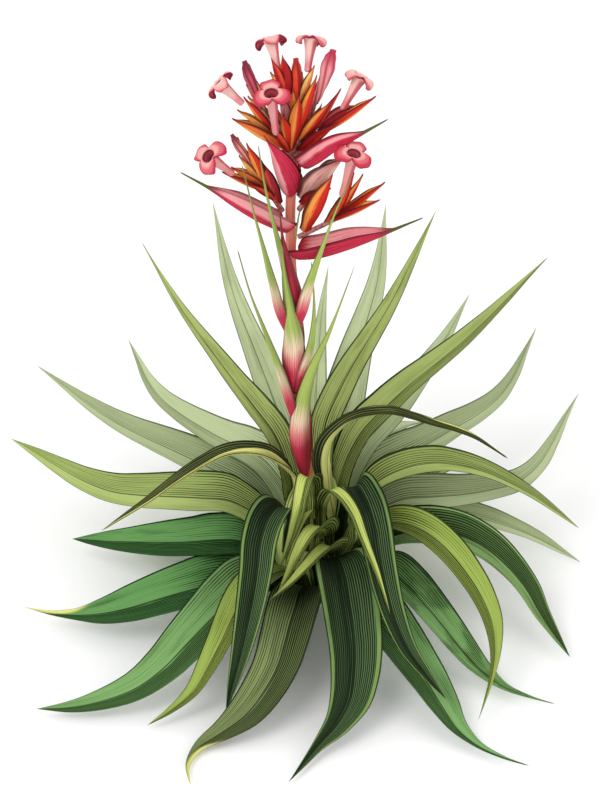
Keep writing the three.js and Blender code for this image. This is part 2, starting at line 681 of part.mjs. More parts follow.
// Spikes: axes; bracts as root, tip, width; buds as root, tip, radius
const SPIKES = {
  spikes_upper: {
    axes: [
      [[-9, 0, 206], [-8, -2, 224], [-7, 0, 235]],
      [[-9.5, -0.5, 206], [-12.5, -2, 225], [-13.5, -1, 238]],
      [[-10, -0.6, 206], [-17, -4, 221], [-23, -4, 231]],
      [[-8.6, 0.4, 206], [-4, 0, 221], [1, -1, 235]],
      [[-8.4, -0.4, 206], [-1, -4, 217], [6.5, -5, 223.5]],
    ],
    bracts: [
      [[-9.6, -1.4, 210], [-6.5, -9, 239], 5.4],
      [[-8, -1.9, 219], [0, -6, 245.5], 4.8],
      [[-7, -1, 230], [-8, -2, 249.5], 3.8],
      [[-8.5, -2, 222.5], [-9.5, 1, 242.5], 3.2],
      [[-7, 0, 231], [-5.5, 1, 242.5], 3],
      [[-6.5, -1, 230], [-1, -1, 246.5], 3.2],
      [[-8, -1.4, 224], [-7, 7, 242.5], 4.2],
      [[-11, -2, 233.5], [-13, -3, 252], 3.8],
      [[-12, -2, 234.5], [-17, -5, 251.5], 3.2],
      [[-12, -1.4, 232.5], [-17.5, -2.5, 244.5], 3.2],
      [[-12.6, -1.3, 228], [-16.5, 4, 239.5], 3.8],
      [[-10.4, -1.4, 211], [-13, -9, 230], 3.6],
      [[-10.8, -1.4, 209], [-18, -8, 225], 3.6],
      [[-12.2, -2, 211], [-32, -9, 228.5], 6],
      [[-17, -4, 219], [-30, -7, 231], 3.6],
      [[-17.5, -4, 222], [-27.5, -6, 236], 3.6],
      [[-17.5, -3, 223], [-26, -2, 234], 3.4],
      [[-19, -3, 226.5], [-26.5, -2, 239], 3.4],
      [[-20.5, -3.4, 228], [-23.5, -1, 242.5], 3.2],
      [[-6.2, -0.8, 213.5], [5, -7, 234.5], 4.8],
      [[-3, 0, 224], [2.5, 5, 241], 3.8],
      [[-3, -0.6, 224], [9, -3, 239], 3],
      [[2, -5, 219.5], [22, -10, 238.5], 4.4],
      [[-6.4, -1.6, 209.5], [7.5, -9, 226.5], 5.2],
      [[1, -3.8, 218.6], [15.5, -2, 230.5], 7],
    ],
    buds: [
      [[-21, -3.8, 229], [-27, -3, 249], 1.8],
      [[-0.5, -1, 230], [6, -1, 252.5], 2.7],
    ],
  },
  spike_lower_left: {
    axes: [
      [[-13.2, -1.5, 183.5], [-18.5, -4, 194], [-24.5, -6, 204]],
    ],
    bracts: [
      [[-14.5, -2.5, 187], [-21, -8, 210], 4.2],
      [[-19, -4.5, 194.5], [-26.5, -8, 217.5], 4.8],
      [[-21, -4.6, 198], [-30, -3, 217], 3],
      [[-20, -4.6, 196], [-29.5, -8, 212], 3.2],
      [[-20, -4.8, 196], [-32.5, -9, 207.5], 4.2],
      [[-18.5, -4.5, 193.5], [-36, -11, 206.5], 4],
      [[-16.5, -3.2, 189.5], [-25, -11, 201], 4.2],
      [[-18, -3.4, 192.5], [-24.5, 2, 204.5], 4.2],
    ],
    buds: [
      [[-23, -5.4, 202], [-32, -6, 219.5], 1.6],
    ],
  },
  spike_middle_right: {
    axes: [
      [[-6.8, -2.4, 184.5], [-3, -3.5, 191], [1.5, -5, 199]],
    ],
    bracts: [
      [[-5.6, -3, 187], [5.5, -7, 197], 5.8],
      [[-4.4, -3.2, 189], [10, -5, 209.5], 11],
    ],
  },
  spike_lower_right: {
    axes: [
      [[-6.8, -2.6, 172.5], [-1, -4.6, 177], [8, -6, 183]],
    ],
    bracts: [
      [[-4, -3.6, 175], [6, -13, 207], 6.8],
      [[6.5, -5.6, 182], [17.5, -8, 204], 3.6],
      [[7, -6, 182.6], [14, -10, 206], 3],
      [[7, -6, 182.4], [26, -9, 201], 4.2],
      [[6, -5.8, 181.5], [24, -13, 195.5], 4.2],
      [[3.5, -5.4, 180], [13.5, -3, 197], 3.6],
    ],
  },
  spike_back: {
    axes: [
      [[-9.2, 2.6, 190], [-6, 9, 204], [-4, 14, 216]],
    ],
    bracts: [
      [[-8.5, 4.4, 193.5], [-10.4, 15, 228], 6],
      [[-7.5, 6, 197], [2, 14, 222], 6],
      [[-6, 9, 204], [-4.5, 13, 232], 5.5],
      [[-5.3, 11, 208.5], [-2, 21, 226], 5.5],
      [[-8, 5, 195], [-15, 14, 220], 5.5],
      [[-6.5, 8, 202], [-9, 21, 228], 5],
    ],
    buds: [
      [[-5, 12, 211], [-8, 18, 239], 2.3],
    ],
  },
};

// Open blooms
const BLOOMS = {
  bloom_left: {
    foot: [-31.6, -10.8, 205.4], aim: [-41, -18.5, 218],
    length: 16.8, roll: 0.5, spread: 1.45,
  },
  bloom_upper_left: {
    foot: [-27.6, -6.7, 233], aim: [-34.4, -5.2, 239],
    length: 12.3, spin: 0.6, roll: 1.3,
  },
  bloom_face_left: {
    foot: [-15.4, -8.7, 221.4], aim: [-17, -15, 242],
    length: 22, roll: 0.3, spread: 1.25,
  },
  bloom_top_left: { foot: [-14.3, -0.4, 242.3], aim: [-16.8, 5.8, 251.2], length: 13.5, spin: 1 },
  bloom_top_right: { foot: [-3.6, -0.4, 243], aim: [-2.3, 6.2, 252.4], length: 12.8, roll: 1.6 },
  bloom_right: { foot: [9.4, -4, 229], aim: [16, 0, 240.7], length: 14.4, spin: 0.4, roll: 1.3 },
  bloom_face_right: {
    foot: [9.4, -10.7, 195.4], aim: [13.7, -15.5, 217],
    length: 22.6, roll: 0.3, spread: 1.3,
  },
};

const group = new THREE.Group();

// Own mesh and own material for every piece
function put(name, geometry, slot) {
  const material = new THREE.MeshStandardMaterial({ color: COLOUR[slot], roughness: 0.6 });
  const mesh = new THREE.Mesh(geometry, material);
  material.name = slot;
  mesh.name = name;
  group.add(mesh);
}

put("crown", crown(), "sheath");
Object.entries({ ...LEAVES, ...BACK_LEAVES }).forEach(([name, plan]) => put(name, leaf(plan), plan.slot));

const stalkParts = [rod(STALK.map(vector), STALK_RADIUS, STALK_STEPS, STALK_SECTORS)];
STALK_BRACTS.forEach(({ points, facing, width }) => {
  const side = UP.clone().cross(headingVector(facing));
  stalkParts.push(bract({ points: points.map(vector), side, width, form: STALK_FORM, ...STALK_BRACT }));
});
put("flower_stalk", joined(stalkParts), "scape");

Object.entries(PRIMARY_BRACTS).forEach(([name, { points, facing, width, form = PRIMARY_FORM }]) => {
  const side = UP.clone().cross(headingVector(facing));
  const plan = { points: points.map(vector), side, width, form, ...PRIMARY_BRACT };
  put(name, bract(plan), "primary_bract");
});
Object.entries(SPIKES).forEach(([name, plan]) => put(name, spike(plan), "floral_bract"));
Object.entries(BLOOMS).forEach(([name, plan]) => put(name, bloom(plan), "petal"));

export default group;
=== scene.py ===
# %% [markdown]
# # A flowering tillandsia
# The plant is a rosette of channelled, pointed leaves on a short sheathed crown, and a leaning flower
# stalk that carries bracts, spikes and open blooms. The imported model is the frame: it says where every
# leaf, bract and bloom sits. This script keeps those places and gives each piece its fine shape and finish.
# Lengths are in metres, +Z is up, and the plant's front faces -Y.

# %% Load the frame
import json
import math

import bmesh
import bpy
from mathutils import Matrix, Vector


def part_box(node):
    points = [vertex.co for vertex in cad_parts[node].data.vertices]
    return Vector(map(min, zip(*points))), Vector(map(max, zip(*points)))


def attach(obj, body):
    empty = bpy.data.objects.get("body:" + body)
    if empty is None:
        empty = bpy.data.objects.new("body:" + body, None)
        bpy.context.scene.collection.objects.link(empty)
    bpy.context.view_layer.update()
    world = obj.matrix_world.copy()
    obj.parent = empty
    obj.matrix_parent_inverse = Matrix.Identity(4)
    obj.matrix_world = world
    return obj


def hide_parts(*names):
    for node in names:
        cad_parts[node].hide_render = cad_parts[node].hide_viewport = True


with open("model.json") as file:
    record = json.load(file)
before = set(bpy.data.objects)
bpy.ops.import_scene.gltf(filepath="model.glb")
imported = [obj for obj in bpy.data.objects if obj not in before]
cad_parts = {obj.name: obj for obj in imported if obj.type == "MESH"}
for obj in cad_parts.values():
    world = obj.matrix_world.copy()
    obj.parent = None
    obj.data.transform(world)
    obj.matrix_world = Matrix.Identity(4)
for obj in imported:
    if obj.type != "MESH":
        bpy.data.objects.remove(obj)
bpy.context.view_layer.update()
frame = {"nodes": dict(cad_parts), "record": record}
MM = 0.001
WELD = 0.02 * MM
UP = Vector((0, 0, 1))
print("nodes in the frame:", len(frame["nodes"]))

# %% [markdown]
# ## Node trees in plain sums
# Both the shapes (Geometry Nodes) and the finishes (shader nodes) are trees of nodes. Placing every Math
# node by hand makes a script hard to read. A small class that wraps one socket and overloads the
# operators lets a sum be written as a sum, and each operator then adds its own Math node.


# %% A socket that can be added, multiplied and compared
class Field:
    """One output socket. An operator adds the Math node that works out the result."""

    def __init__(self, web, socket):
        self.web = web
        self.socket = socket

    def __add__(self, other):
        return self.web.math("ADD", self, other)

    def __radd__(self, other):
        return self.web.math("ADD", other, self)

    def __sub__(self, other):
        return self.web.math("SUBTRACT", self, other)

    def __rsub__(self, other):
        return self.web.math("SUBTRACT", other, self)

    def __mul__(self, other):
        return self.web.math("MULTIPLY", self, other)

    def __rmul__(self, other):
        return self.web.math("MULTIPLY", other, self)

    def __truediv__(self, other):
        return self.web.math("DIVIDE", self, other)

    def __rtruediv__(self, other):
        return self.web.math("DIVIDE", other, self)

    def __pow__(self, other):
        return self.web.math("POWER", self, other)

    def output(self, name):
        """Another output of the same node."""
        return Field(self.web, self.socket.node.outputs[name])


# %% A tree that adds any node from one method
class Web:
    """A node tree under construction. Settings are set before sockets, because they choose the sockets."""

    def __init__(self, tree):
        self.tree = tree
        tree.nodes.clear()

    def node(self, kind, settings=None, sockets=None, output=0):
        made = self.tree.nodes.new(kind)
        for key, value in (settings or {}).items():
            setattr(made, key, value)
        for key, value in (sockets or {}).items():
            if isinstance(value, Field):
                self.tree.links.new(value.socket, made.inputs[key])
            else:
                made.inputs[key].default_value = value
        return Field(self, made.outputs[output]) if len(made.outputs) else made

    def math(self, operation, *values):
        return self.node("ShaderNodeMath", {"operation": operation}, dict(enumerate(values)))

    def arrow(self, operation, *values, output=0):
        return self.node("ShaderNodeVectorMath", {"operation": operation}, dict(enumerate(values)), output)

    def scaled(self, vector, factor):
        return self.node("ShaderNodeVectorMath", {"operation": "SCALE"}, {0: vector, "Scale": factor})

    def ease(self, value, low, high):
        """0 below low, 1 above high, smooth between."""
        settings = {"interpolation_type": "SMOOTHSTEP"}
        return self.node("ShaderNodeMapRange", settings, {0: value, 1: low, 2: high, 3: 0.0, 4: 1.0})

    def noise(self, spot, scale=1.0, detail=2.0):
        """Smooth noise of 0 to 1."""
        return self.node("ShaderNodeTexNoise", sockets={"Vector": spot, "Scale": scale, "Detail": detail})

    def mix(self, share, first, second):
        """Colour between two colours."""
        return self.node("ShaderNodeMix", {"data_type": "RGBA"}, {0: share, 6: first, 7: second}, 2)

    def coats(self, colour, *coats):
        """Colour with coats over it. Each is how far it covers, from 0 to 1, and its own colour."""
        for cover, coat in coats:
            colour = self.mix(cover, colour, coat)
        return colour


print("helpers for node trees are ready")

# %% [markdown]
# ## The blade rule
# A tillandsia leaf is one long strip: thick along its middle, thin at its margins, channelled like a
# gutter, and drawn out to a needle point. Bracts follow the same rule with other proportions. It could be
# modelled strip by strip, or as a flat plane that is bent, but one Geometry Nodes tree that lofts a grid
# between a left line, a middle line and a right line makes every blade of the plant. The lines come in as
# vector attributes on a chain of points, one point for each section.

# %% The Geometry Nodes tree of a blade
BLADE_INPUTS = {
    "Stations": ("NodeSocketInt", 60),
    "Panels": ("NodeSocketInt", 22),
    "Keel Depth": ("NodeSocketFloat", 0.4 * MM),
    "Keel Width": ("NodeSocketFloat", 0.1),
    "Rib Depth": ("NodeSocketFloat", 0.12 * MM),
    "Ribs": ("NodeSocketFloat", 5.0),
    "Margin Wave": ("NodeSocketFloat", 0.6 * MM),
    "Wave Count": ("NodeSocketFloat", 5.0),
    "Seed": ("NodeSocketFloat", 0.0),
    "Weld": ("NodeSocketFloat", WELD),
    "Finish": ("NodeSocketMaterial", None),
}


def new_tree(name, inputs):
    """Empty Geometry Nodes tree with named inputs, and each input's identifier."""
    tree = bpy.data.node_groups.new(name, "GeometryNodeTree")
    tree.interface.new_socket(name="Geometry", in_out="INPUT", socket_type="NodeSocketGeometry")
    tree.interface.new_socket(name="Geometry", in_out="OUTPUT", socket_type="NodeSocketGeometry")
    keys = {}
    for label, (kind, value) in inputs.items():
        socket = tree.interface.new_socket(name=label, in_out="INPUT", socket_type=kind)
        if value is not None:
            socket.default_value = value
        keys[label] = socket.identifier
    return tree, keys


def end_tree(web, shape, finish):
    """The end of every tree here: smooth faces, no instances, a material, and the tree's output."""
    shape = web.node("GeometryNodeSetShadeSmooth", sockets={"Geometry": shape, "Shade Smooth": True})
    shape = web.node("GeometryNodeRealizeInstances", sockets={0: shape})
    shape = web.node("GeometryNodeSetMaterial", sockets={"Geometry": shape, "Material": finish})
    web.node("NodeGroupOutput", sockets={0: shape})


# Relief fades out where a blade is narrow. The lens power rounds the blade from its middle to its margins,
# and a start of a little over 1 keeps the power's base above zero there.
RELIEF_WIDTHS = (0.2 * MM, 3 * MM)
LENS_POWER = 0.6
OVER_ONE = 1.0001


def blade_tree():
    tree, keys = new_tree("Blade", BLADE_INPUTS)
    web = Web(tree)
    given = web.node("NodeGroupInput")
    stations, panels = given.output("Stations"), given.output("Panels")
    grid = web.node(
        "GeometryNodeMeshGrid",
        sockets={"Size X": 1.0, "Size Y": 1.0, "Vertices X": stations, "Vertices Y": panels + 1},
    )
    place = web.node("ShaderNodeSeparateXYZ", sockets={0: web.node("GeometryNodeInputPosition")})
    share = place.output("X") + 0.5
    across = place.output("Y") * 2
    station = web.math("ROUND", share * (stations - 1))

    def section(name, kind="FLOAT_VECTOR"):
        """A value of the chain's own point, read at every point of the grid."""
        named = web.node("GeometryNodeInputNamedAttribute", {"data_type": kind}, {"Name": name})
        return web.node(
            "GeometryNodeSampleIndex",
            {"data_type": kind, "domain": "POINT"},
            {"Geometry": given, "Value": named, "Index": station},
        )

    left, middle, right, above = (section(name) for name in ("left", "middle", "right", "above"))
    half = web.scaled(web.arrow("SUBTRACT", right, left), 0.5)
    sag = web.arrow("SUBTRACT", web.scaled(web.arrow("ADD", right, left), 0.5), middle)
    square = across * across
    sheet = web.arrow("ADD", middle, web.scaled(half, across))
    sheet = web.arrow("ADD", sheet, web.scaled(sag, square))

    keel = web.math("EXPONENT", square / (given.output("Keel Width") ** 2) * -1)
    ribs = web.math("COSINE", across * given.output("Ribs") * math.pi) * (1 - square)
    spot = web.node(
        "ShaderNodeCombineXYZ",
        sockets={0: share * given.output("Wave Count"), 1: across, 2: given.output("Seed")},
    )
    wave = web.noise(spot, detail=1.0) - 0.5
    relief = ribs * given.output("Rib Depth") - keel * given.output("Keel Depth")
    relief = relief + wave * square * 2 * given.output("Margin Wave")
    relief = relief * web.ease(web.arrow("LENGTH", half, output="Value"), *RELIEF_WIDTHS)
    lens = section("body", "FLOAT") * 0.5 * ((OVER_ONE - square) ** LENS_POWER)
    flat = web.node("ShaderNodeCombineXYZ", sockets={0: across * 0.5 + 0.5, 1: share, 2: 0.0})
    charted = web.node(
        "GeometryNodeStoreNamedAttribute",
        {"data_type": "FLOAT2", "domain": "CORNER"},
        {"Geometry": grid, "Name": "UVMap", "Value": flat},
    )
    join = tree.nodes.new("GeometryNodeJoinGeometry")
    for sign in (1, -1):
        moved = web.arrow("ADD", sheet, web.scaled(above, relief + lens * sign))
        face = web.node("GeometryNodeSetPosition", sockets={"Geometry": charted, "Position": moved})
        if sign < 0:
            face = web.node("GeometryNodeFlipFaces", sockets={0: face})
        tree.links.new(face.socket, join.inputs[0])
    whole = web.node(
        "GeometryNodeMergeByDistance",
        sockets={"Geometry": Field(web, join.outputs[0]), "Distance": given.output("Weld")},
    )
    end_tree(web, whole, given.output("Finish"))
    return tree, keys


BLADE = blade_tree()
print("blade tree:", len(BLADE[0].nodes), "nodes")

# %% [markdown]
# ## From a tree to a plain mesh
# A modifier's input is set by its socket's identifier. The evaluated result is copied into a plain mesh,
# so the finished piece carries no modifier.


# %% Run a tree on a chain of points
def grown(tree_and_keys, mesh, values):
    """Plain mesh that a Geometry Nodes tree makes from a mesh."""
    tree, keys = tree_and_keys
    plan = bpy.data.objects.new("plan", mesh)
    bpy.context.scene.collection.objects.link(plan)
    modifier = plan.modifiers.new("Rule", "NODES")
    modifier.node_group = tree
    for label, value in values.items():
        modifier[keys[label]] = value
    bpy.context.view_layer.update()
    seen = plan.evaluated_get(bpy.context.evaluated_depsgraph_get())
    result = bpy.data.meshes.new_from_object(seen)
    bpy.data.objects.remove(plan)
    bpy.data.meshes.remove(mesh)
    return result


def chain(points, floats, vectors):
    """Points joined in a row, with named values on them."""
    mesh = bpy.data.meshes.new("chain")
    mesh.from_pydata(points, [(i, i + 1) for i in range(len(points) - 1)], [])
    for name, values in floats.items():
        mesh.attributes.new(name, "FLOAT", "POINT").data.foreach_set("value", values)
    for name, values in vectors.items():
        flat = [number for value in values for number in value]
        mesh.attributes.new(name, "FLOAT_VECTOR", "POINT").data.foreach_set("vector", flat)
    return mesh


print("trees can be run")

# %% [markdown]
# ## Smooth lines through a few points
# The frame gives a leaf as about ten sections. A Catmull-Rom curve passes through every one of them, so
# the fine leaf stays exactly where the frame has it, with no corners between.


# %% A curve through points, and lines that follow it
def knots_of(points):
    """Parameter of each point: the root of the distances, which keeps a curve from looping."""
    knots = [0.0]
    for a, b in zip(points, points[1:]):
        knots.append(knots[-1] + max((b - a).length, 1e-6) ** 0.5)
    return knots


def curve_at(points, knots, at):
    """Point of the curve at a parameter."""
    last = len(points) - 1
    i = 0
    while i < last - 1 and at > knots[i + 1]:
        i += 1
    before = points[i - 1] if i > 0 else points[i] * 2 - points[i + 1]
    after = points[i + 2] if i + 2 <= last else points[i + 1] * 2 - points[i]
    step = knots[i + 1] - knots[i]
    t0 = knots[i - 1] if i > 0 else knots[i] - step
    t3 = knots[i + 2] if i + 2 <= last else knots[i + 1] + step
    t1, t2 = knots[i], knots[i + 1]
    a1 = before.lerp(points[i], (at - t0) / (t1 - t0))
    a2 = points[i].lerp(points[i + 1], (at - t1) / (t2 - t1))
    a3 = points[i + 1].lerp(after, (at - t2) / (t3 - t2))
    b1 = a1.lerp(a2, (at - t0) / (t2 - t0))
    b2 = a2.lerp(a3, (at - t1) / (t3 - t1))
    return b1.lerp(b2, (at - t1) / (t2 - t1))


FINE_STEPS = 6


def evenly(points, count, lines=()):
    """The curve through points, and lines that follow it, at places of equal length."""
    knots = knots_of(points)
    steps = count * FINE_STEPS
    fine = [knots[-1] * i / steps for i in range(steps + 1)]
    spots = [curve_at(points, knots, at) for at in fine]
    runs = [0.0]
    for a, b in zip(spots, spots[1:]):
        runs.append(runs[-1] + (b - a).length)
    places, j = [], 0
    for i in range(count):
        target = runs[-1] * i / (count - 1)
        while j < len(runs) - 2 and runs[j + 1] < target:
            j += 1
        part = (target - runs[j]) / max(runs[j + 1] - runs[j], 1e-9)
        places.append(fine[j] + (fine[j + 1] - fine[j]) * min(part, 1.0))
    return [[curve_at(line, knots, at) for at in places] for line in (points, *lines)]


def smooth_share(value, low, high):
    """0 below low, 1 above high, smooth between."""
    t = min(max((value - low) / (high - low), 0.0), 1.0)
    return t * t * (3 - 2 * t)


print("curves are ready")


# %% A blade from three lines
NARROWEST = 0.4 * MM


def blade(middle, left, right, body, finish, panels=22, **habit):
    """Plain mesh of a blade. body is the thickness at each section, habit sets the tree's other inputs."""
    count = len(middle)
    above, side = [], (right[0] - left[0]).normalized()
    for i in range(count):
        along = (middle[min(i + 1, count - 1)] - middle[max(i - 1, 0)]).normalized()
        span = right[i] - left[i]
        if span.length > NARROWEST:
            side = span.normalized()
        above.append(along.cross(side).normalized())
    lines = {"left": left, "middle": middle, "right": right, "above": above}
    values = {"Stations": count, "Panels": panels, "Finish": finish}
    values.update({name.replace("_", " ").title(): value for name, value in habit.items()})
    return grown(BLADE, chain(middle, {"body": body}, lines), values)


def piece(name, meshes, slot, *nodes):
    """One object from one or more meshes, which stands for CAD nodes. The slot argument is not used."""
    shape = bmesh.new()
    finishes = []
    for mesh in meshes:
        start = len(shape.faces)
        shape.from_mesh(mesh)
        shape.faces.ensure_lookup_table()
        for finish in mesh.materials:
            if finish not in finishes:
                finishes.append(finish)
        for i in range(start, len(shape.faces)):
            face = shape.faces[i]
            face.material_index = finishes.index(mesh.materials[face.material_index])
            face.smooth = True
    whole = bpy.data.meshes.new(name)
    shape.to_mesh(whole)
    shape.free()
    for finish in finishes:
        whole.materials.append(finish)
    for mesh in meshes:
        bpy.data.meshes.remove(mesh)
    made = bpy.data.objects.new(name, whole)
    bpy.context.scene.collection.objects.link(made)
    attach(made, "root")
    if nodes:
        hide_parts(*nodes)
    return made


print("pieces can be made")

# %% [markdown]
# ## Colours
# Colours are noted as a painter would read them from the plant, 0 to 255, and turned into the linear
# values that the shader works with.


# %% Colour notes
def tint(red, green, blue):
    """Linear colour from values of 0 to 255."""
    linear = []
    for value in (red, green, blue):
        c = value / 255
        linear.append(c / 12.92 if c <= 0.04045 else ((c + 0.055) / 1.055) ** 2.4)
    return (*linear, 1.0)


def tints(notes):
    return [tint(*note) for note in notes]


DARK_VEINS = tint(8, 18, 6)
PALE_VEINS = tint(84, 100, 66)
GOLDEN = tint(222, 220, 132)
PAINTS = {
    # name: lit half, half in painted shade (darker clouds on a leaf without a shaded half) and rim;
    # where the rim starts; then how heavy the veins are on the lit half and on the half in painted shade
    "pale": ((188, 200, 156), (170, 182, 138), (170, 184, 140), 0.95, -0.85, -0.55),
    "lime": ((180, 196, 120), (158, 176, 102), (150, 168, 98), 0.95, -1.0, -0.6),
    "green": ((168, 184, 110), (144, 160, 90), (148, 164, 96), 0.95, -0.9, -0.35),
    "yellow": ((156, 178, 86), (132, 148, 68), (164, 184, 92), 0.9, -0.6, 0.25),
    "emerald": ((108, 160, 92), (62, 108, 56), (98, 152, 88), 0.93, -0.7, 0.3),
    "jade": ((130, 174, 106), (80, 116, 64), (122, 166, 100), 0.93, -0.6, 0.3),
    "leek": ((136, 172, 104), (82, 110, 60), (148, 182, 110), 0.88, -0.4, 0.45),
    "dark": ((86, 112, 70), (66, 90, 54), (120, 150, 82), 0.8, 0.55, 0.95),
    "olive": ((130, 146, 92), (96, 110, 66), (120, 134, 84), 0.95, -0.35, 0.3),
    "arch": ((214, 216, 128), (94, 102, 60), (180, 188, 110), 0.92, -0.8, 0.6),
    "heart": ((192, 204, 108), (132, 150, 72), (206, 212, 120), 0.88, -0.55, 0.3),
}
print("paints:", ", ".join(PAINTS))


# %% The start, the pattern and the end of a finish
def fresh_finish(name):
    """New material and the web that its nodes go into."""
    finish = bpy.data.materials.new(name)
    finish.use_nodes = True
    return finish, Web(finish.node_tree)


def charted_finish(name, *noises):
    """New material, its web, the piece's own UV in three parts, and noises on it.

    The parts are across from -1 to 1, the distance from the middle, and along from 0 to 1. A noise is
    asked for by how often it changes across and along, its detail and its seed.
    """
    finish, web = fresh_finish(name)
    chart = web.node("ShaderNodeUVMap", {"uv_map": "UVMap"})
    part = web.node("ShaderNodeSeparateXYZ", sockets={0: chart})
    across, along = part.output("X") * 2 - 1, part.output("Y")
    made = []
    for u_scale, v_scale, detail, seed in noises:
        spot = web.node("ShaderNodeCombineXYZ", sockets={0: across * u_scale, 1: along * v_scale, 2: seed})
        made.append(web.noise(spot, detail=detail))
    return finish, web, across, web.math("ABSOLUTE", across), along, *made


def wave_lines(web, turns, power):
    """Lines side by side, one for each whole turn. A higher power makes them thinner."""
    return (web.math("COSINE", turns * (2 * math.pi)) * 0.5 + 0.5) ** power


def fade(web, along, colour, steps):
    """Colour that changes along a piece: each step is where it starts, where it is complete, its colour."""
    return web.coats(colour, *((web.ease(along, low, high), target) for low, high, target in steps))


BUMP_DEPTH = 0.3 * MM


def shader_out(web, colour, roughness, height, strength=0.5, **constants):
    """Principled shader with a bump. Values that are the same all over sit on its own sockets."""
    bump = web.node(
        "ShaderNodeBump", sockets={"Strength": strength, "Distance": BUMP_DEPTH, "Height": height}
    )
    shader = web.node(
        "ShaderNodeBsdfPrincipled", sockets={"Base Color": colour, "Roughness": roughness, "Normal": bump}
    )
    for label, value in constants.items():
        shader.socket.node.inputs[label.replace("_", " ")].default_value = value
    web.node("ShaderNodeOutputMaterial", sockets={"Surface": shader})


print("finish helpers are ready")

# %% [markdown]
# ## Finish of a living leaf
# A leaf is matt to satin. Fine veins run along it side by side, one half of the channel lies in shade, the
# midrib is a dark fold and the margins are thin dark lines. The pattern has to follow the leaf, so it reads
# the leaf's own UV map: U runs across, V runs from root to tip. Where a leaf is in shade its dark veins are
# thicker, so one wave across the leaf makes both the veins and the shading. The veins also feed a Bump node.

# %% Where the marks of a leaf lie
VEIN_STEP = 0.9 * MM
OUTLINE = 0.85 * MM
LEAF_NOISES = (
    # how often it changes across and along, and its detail
    (1.2, 7.0, 3.0),  # wash: clouds of colour
    (9.0, 4.0, 2.0),  # streak: veins that swell and fade
    (3.0, 9.0, 1.0),  # wander: veins that drift sideways
    (2.2, 4.0, 2.0),  # patch: darker places
)
NOISE_STEP = 3.7
# A zone is where a mark starts and where it is complete. The first row lies across a leaf, from 0 at the
# midrib to 1 at the margin, the second along it, from 0 at the root to 1 at the tip, the third on a noise.
SHADE_ZONE, CREASE_SHADE_ZONE, FLAT_CREASE_SHADE_ZONE, MIDRIB_ZONE = (-0.03, 0.12), (0.05, 0.5), (0.0, 0.3), (0.015, 0.05)
ROOT_SHADE_ZONE, ARCH_ZONE, TIP_ZONE, RIPE_ZONE = (0.14, 0.5), (0.3, 0.6), (0.8, 1.0), (0.84, 0.9)
CLOUD_ZONE, PATCH_ZONE, VEIN_ZONE = (0.45, 0.62), (0.5, 0.72), (0.0, 0.8)
ARCH_BAND = 0.5
RIM_BLUR = 0.03
print("veins per 10 mm of breadth:", round(10 * MM / VEIN_STEP))


# %% Leaf material
def leaf_finish(name, paint, shaded, breadth, seed, golden):
    """Finish for one leaf. shaded is +1 or -1 for the half in shade, 0 for both alike; breadth in metres."""
    *notes, rim_from, light_weight, dark_weight = PAINTS[paint]
    light, dark, rim = tints(notes)
    ink = PALE_VEINS if paint == "pale" else DARK_VEINS
    finish, web, across, off, along, wash, streak, wander, patch = charted_finish(
        f"leaf_{paint}_{name}", *((*row, seed * NOISE_STEP) for row in LEAF_NOISES)
    )
    cloud = wash - 0.5
    # Painted shade: towards the root, where the leaves crowd round the crown, a leaf is darker and its veins
    # heavier.
    root = 1 - web.ease(along + cloud * 0.25, *ROOT_SHADE_ZONE)
    if shaded:
        inner = across * float(shaded)
        if paint == "arch":
            inner = inner - (1 - web.ease(along, *ARCH_ZONE)) * ARCH_BAND
        shade = web.ease(inner + cloud * 0.2, *SHADE_ZONE)
        # Painted shade: the shaded half is darkest beside the midrib, where the channel folds.
        crease_shade = shade * (1 - web.ease(inner, *CREASE_SHADE_ZONE))
    else:
        shade = web.ease(wash, *CLOUD_ZONE) * 0.6
        # Painted shade: a leaf without a shaded half darkens along its midrib.
        crease_shade = 1 - web.ease(off, *FLAT_CREASE_SHADE_ZONE)
    if paint == "arch":
        root = root * shade
    outer = web.ease(off, rim_from - RIM_BLUR, rim_from + RIM_BLUR)
    midrib = 1 - web.ease(off, *MIDRIB_ZONE)
    line_from = 1 - OUTLINE / (breadth / 2)
    edge = web.ease(off, line_from, 0.5 + line_from / 2)

    turns = across * (breadth / VEIN_STEP / 2) + wander * 0.8
    weight = light_weight + shade * (dark_weight - light_weight) + (streak - 0.5) * 1.5
    weight = weight + crease_shade * 0.35 + root * 0.8 + web.ease(along, *TIP_ZONE) * 0.25
    weight = weight - outer * (0.9 + dark_weight)
    veins = web.ease(web.math("COSINE", turns * (2 * math.pi)) + weight, *VEIN_ZONE)

    colour = web.coats(
        web.mix(shade, light, dark),
        (root * 0.4, dark),
        (outer, rim),
        (cloud * 0.5 + 0.05, light),
        (web.ease(patch, *PATCH_ZONE) * 0.65, dark),
    )
    if golden:
        ripe = web.ease(along + across * (0.1 * golden), *RIPE_ZONE)
        colour = web.mix(ripe, colour, GOLDEN)
        veins = veins * (1 - ripe * 0.8)
    colour = web.coats(colour, (veins * 0.95, ink), (midrib * 0.8, ink), (edge * 0.9, ink))
    height = veins * -0.6 + streak * 0.35 - midrib * 0.6
    shader_out(web, colour, 0.7 - veins * 0.1 + wash * 0.1, height, 0.4, Specular_IOR_Level=0.08)
    return finish


print("leaf finish is ready")

# %% [markdown]
# ## The leaves
# Every leaf is in the frame as a closed blade of sections. Its tip is the corner where most edges meet,
# and walking outwards from it finds the sections one by one. Their outermost points are the margins, and
# the two points nearest the middle give the midrib. The fine leaf is lofted through these lines. At its
# foot a leaf widens into a sheath that hugs the crown, so the rosette is closed to the core.


